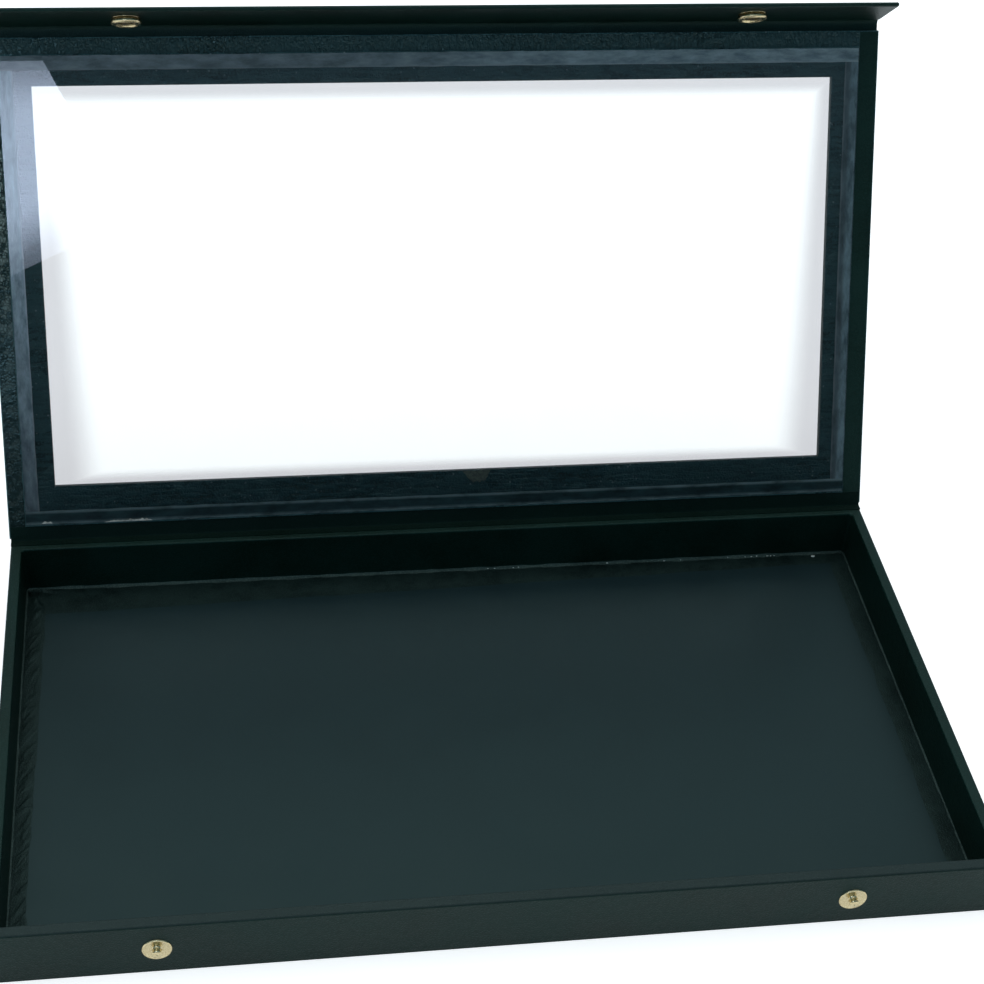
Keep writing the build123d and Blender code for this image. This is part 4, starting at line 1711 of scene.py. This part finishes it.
@dataclass
class Studio:
    """A white table and room, a soft lamp, a window for the pane to mirror, and the photograph's camera."""

    eye: Triple = (-0.10429, -0.55305, 0.59709)
    aim: Triple = (50.2173, -3.4299, -7.7487)
    lens: float = 73.06
    table: float = 9.0
    table_tones: tuple[str, str] = ("#e9ebeb", "#eceded")
    table_grain: float = 25 * MM
    table_glow: float = 0.7
    mirrored_share: float = 0.6
    lamp_place: Triple = (0, 0.6, 1.6)
    lamp_size: Point = (1.6, 1.5)
    lamp_power: float = 6.8
    lamp_colour: str = "#f4ffff"
    card_place: Triple = (-0.3625, -1.3, 0.7128)
    card_size: Point = (0.30, 0.222)
    card_turn: float = -25.5
    card_colour: str = "#d0e4ff"
    card_strength: float = 9.4

    def build(self) -> None:
        """Sets up the table, the room, the lamp, the window card and the camera."""
        self.lay_table()
        self.light_room()
        self.hang_lamp()
        self.hang_card()
        self.place_camera()
        bpy.context.scene.view_settings.view_transform = "Standard"

    def lay_table(self) -> None:
        """Lays a white table that stays white in the picture and keeps the object's shadow."""
        half = self.table / 2
        table = flat_sheet("white_table", (-half, -half), (half, half), 0, cell=self.table)
        material, tree, place = new_material("white table")
        grain = add_node(tree, "TexNoise", {"Vector": place, "Scale": 1 / self.table_grain})
        colour = add_node(tree, "ValToRGB", (grain,), stops=list(zip(NOISE_SPAN, self.table_tones)))
        matt = add_node(tree, "BsdfDiffuse", {"Color": colour})
        # The glow is seen by the camera and through glass, in part by gloss, and not by matt faces
        rays = add_node(tree, "LightPath").outputs
        seen = add_node(tree, "Math", (rays["Is Glossy Ray"], self.mirrored_share), operation="MULTIPLY")
        for ray in ("Is Camera Ray", "Is Transmission Ray"):
            seen = add_node(tree, "Math", (seen, rays[ray]), operation="MAXIMUM")
        strength = add_node(tree, "Math", (seen, self.table_glow), operation="MULTIPLY")
        glow = add_node(tree, "Emission", {"Color": "#ffffff", "Strength": strength})
        add_node(tree, "OutputMaterial", (add_node(tree, "AddShader", (matt, glow)),))
        dress(table, material)

    def light_room(self) -> None:
        """Lights the room evenly, white where it is seen and darker towards its front."""
        world = bpy.data.worlds.new("white room")
        bpy.context.scene.world = world
        world.use_nodes = True
        tree = world.node_tree
        tree.nodes.clear()
        direction = add_node(tree, "TexCoord").outputs["Generated"]
        height = add_node(tree, "VectorMath", (direction, (0, 0.2, 0.8)), operation="DOT_PRODUCT")
        raised = add_node(tree, "Math", (height, 0.1), operation="ADD")
        walls = add_node(tree, "ValToRGB", (raised,), stops=[
            (0.0, "#0c2226"), (0.06, "#1a343b"), (0.16, "#41656f"), (0.34, "#7d9fb3"), (0.6, "#909fa6"),
            (0.79, "#b4c4cc"), (0.84, "#e6f0f2"), (0.88, "#ffffff"),
        ])
        camera_ray = add_node(tree, "LightPath").outputs["Is Camera Ray"]
        seen = add_node(tree, "Mix", {0: camera_ray, 6: walls, 7: "#ffffff"}, data_type="RGBA")
        add_node(tree, "OutputWorld", (add_node(tree, "Background", (seen, 1.0)),))

    def hang_lamp(self) -> None:
        """Hangs a soft rectangular lamp above and behind the case, facing down."""
        data = bpy.data.lights.new("overhead_lamp", "AREA")
        data.shape = "RECTANGLE"
        data.size, data.size_y = self.lamp_size
        data.energy = self.lamp_power
        data.color = srgb(self.lamp_colour)[:3]
        lamp = bpy.data.objects.new("overhead_lamp", data)
        lamp.location = self.lamp_place
        bpy.context.scene.collection.objects.link(lamp)

    def hang_card(self) -> None:
        """Hangs a bright window behind the camera, which the pane mirrors at its left edge."""
        width, length = self.card_size
        lean = math.radians(self.card_turn)
        card = flat_sheet("daylight_window", (-width / 2, -length / 2), (width / 2, length / 2), 0, cell=1)

        def level_top(co: Vector) -> Vector:
            """Cuts the top off level, as the card itself hangs turned."""
            raised = (width / 2 - co.x) * -math.tan(lean) if co.y > 0 else 0
            return Vector((co.x, co.y + raised, co.z))

        shape_points(card, level_top)
        card.location = self.card_place
        upended = Matrix.Rotation(lean, 4, "Y") @ Matrix.Rotation(math.pi / 2, 4, "X")
        card.rotation_euler = upended.to_euler()
        card.visible_camera = False
        material, tree, place = new_material("daylight window")
        height = add_node(tree, "SeparateXYZ", (place,)).outputs["Y"]
        upward = (-math.sin(lean), math.cos(lean), 0)
        upright = add_node(tree, "VectorMath", (place, upward), operation="DOT_PRODUCT")
        # It is dimmer at its foot and towards its head
        shine: Any = self.card_strength
        for coordinate, dim, full, share in (
            (height, -0.5 * length, -0.17 * length, 0.25), (upright, 0.175, 0.09, 0.4),
        ):
            fade = add_node(
                tree, "MapRange", (coordinate, dim, full, share, 1.0), interpolation_type="SMOOTHSTEP"
            )
            shine = add_node(tree, "Math", (fade, shine), operation="MULTIPLY")
        add_node(tree, "OutputMaterial", (add_node(tree, "Emission", (self.card_colour, shine)),))
        dress(card, material)

    def place_camera(self) -> None:
        """Puts the camera where the photograph was taken from."""
        data = bpy.data.cameras.new("camera")
        data.lens = self.lens
        data.sensor_width = 36
        data.clip_start, data.clip_end = 0.05, 50
        camera = bpy.data.objects.new("camera", data)
        camera.location = self.eye
        camera.rotation_euler = [math.radians(angle) for angle in self.aim]
        bpy.context.scene.collection.objects.link(camera)
        bpy.context.scene.camera = camera


def shared_finishes(frame: Frame) -> dict[Finish, Material]:
    """Builds the finishes that several pieces share.

    Args:
        frame: The frame, for the place of the rim that gets a painted highlight.

    Returns:
        The materials.
    """
    rim = frame.extent("wall_cover_front", Matrix.Identity(4))[1]
    finishes = [
        # Satin and near black, with a painted highlight along its front rim
        Leatherette(Finish.GRAINED, rubbed=((rim.y + MM, rim.y), (rim.z - 0.6 * MM, rim.z - 0.2 * MM))),
        # Crinkled where it was drawn taut round the window, so it glints in short pale lines, from its
        # relief and from painted glints: paler colour along the creases, and pale specks
        Leatherette(
            Finish.CRINKLED, ground="#020707", raised="#35585c", specular=0.6, roughness=0.27,
            pebble=1.4 * MM, pebble_depth=0.15 * MM, crease=1.6 * MM, crease_depth=0.35 * MM, crease_run=6.0,
            crease_tone=0.7, speck=2.8 * MM,
        ),
        # Creased across the front strip, and glossier than the rest
        Leatherette(
            Finish.CREASED, ground="#040d0d", raised="#1f3336", specular=0.5, roughness=0.3,
            pebble=1.6 * MM, pebble_depth=0.12 * MM, crease=4.0 * MM, crease_depth=0.35 * MM,
            crease_run=0.35, crease_tone=0.5,
        ),
        # Pale raised grain and pale specks on the left strip: painted glints of the bright window, more of
        # them up the strip, where the relief is deeper too
        Leatherette(
            Finish.SCUFFED, ground="#020a07", raised="#b4c0b8", specular=0.45, roughness=0.24,
            pebble=1.5 * MM, pebble_depth=0.4 * MM, crease=2.6 * MM, crease_depth=0.5 * MM, crease_tone=-0.5,
            mottle=3.2 * MM, speck=2.2 * MM, speck_colour="#d8e0dc", scuffed_up=(0.075, 0.22),
        ),
        # The same sheet turned in on the floor: duller, greyer and lightly creased, and painted darker for
        # the shade that the walls cast on it
        Leatherette(
            Finish.TURNED_IN, ground="#071110", raised="#182523", specular=0.2, crease=5 * MM,
            crease_tone=0.4,
        ),
        # Its edge, curled up at the walls: the curl catches a highlight, and its paler colour is a painted
        # highlight along it
        Leatherette(Finish.RAW_EDGE, ground="#1a2422", raised="#3e4b46"),
        # The fold of the hinge, with little gloss, and painted darker for the shade at the lid's foot
        Leatherette(Finish.FOLDED, ground="#04110c", raised="#081a15", specular=0.1),
        # The floor's sheet, left plain by smooth rollers: an even blue-grey sheen
        Leatherette(
            Finish.SMOOTH, ground="#152326", raised="#18272a", roughness=0.34, pebble=0.8 * MM,
            pebble_depth=0.005 * MM, crease=30 * MM, crease_depth=0.0,
        ),
        Greyboard(),
        # Warm pale gold with soft highlights
        PressedMetal(Finish.BRASS, dull="#c2ae80", bright="#e2d3ab", roughness=0.22),
        # Drawn wire, greyer and a little duller than the brass round it
        PressedMetal(Finish.STEEL, dull="#8b8377", bright="#b9b1a2", roughness=0.3),
        ReleasePaper(),
        DriedGlue(),
        # Wiped so thin that the dark behind it shows through
        DriedGlue(Finish.WIPED_GLUE, dull="#141c18", bright="#3b4237"),
    ]
    return {finish.name: finish.build() for finish in finishes}


def main() -> None:
    """Loads the frame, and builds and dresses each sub-assembly."""
    logging.basicConfig(level=logging.INFO, format="%(name)s: %(message)s")
    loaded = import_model()
    frame = Frame.read(loaded)
    finishes = shared_finishes(frame)

    Studio().build()
    for kind in (Tray, Lid, HingeStrips, Flap, Snaps):
        kind(frame, finishes).build()


if __name__ == "__main__":
    main()
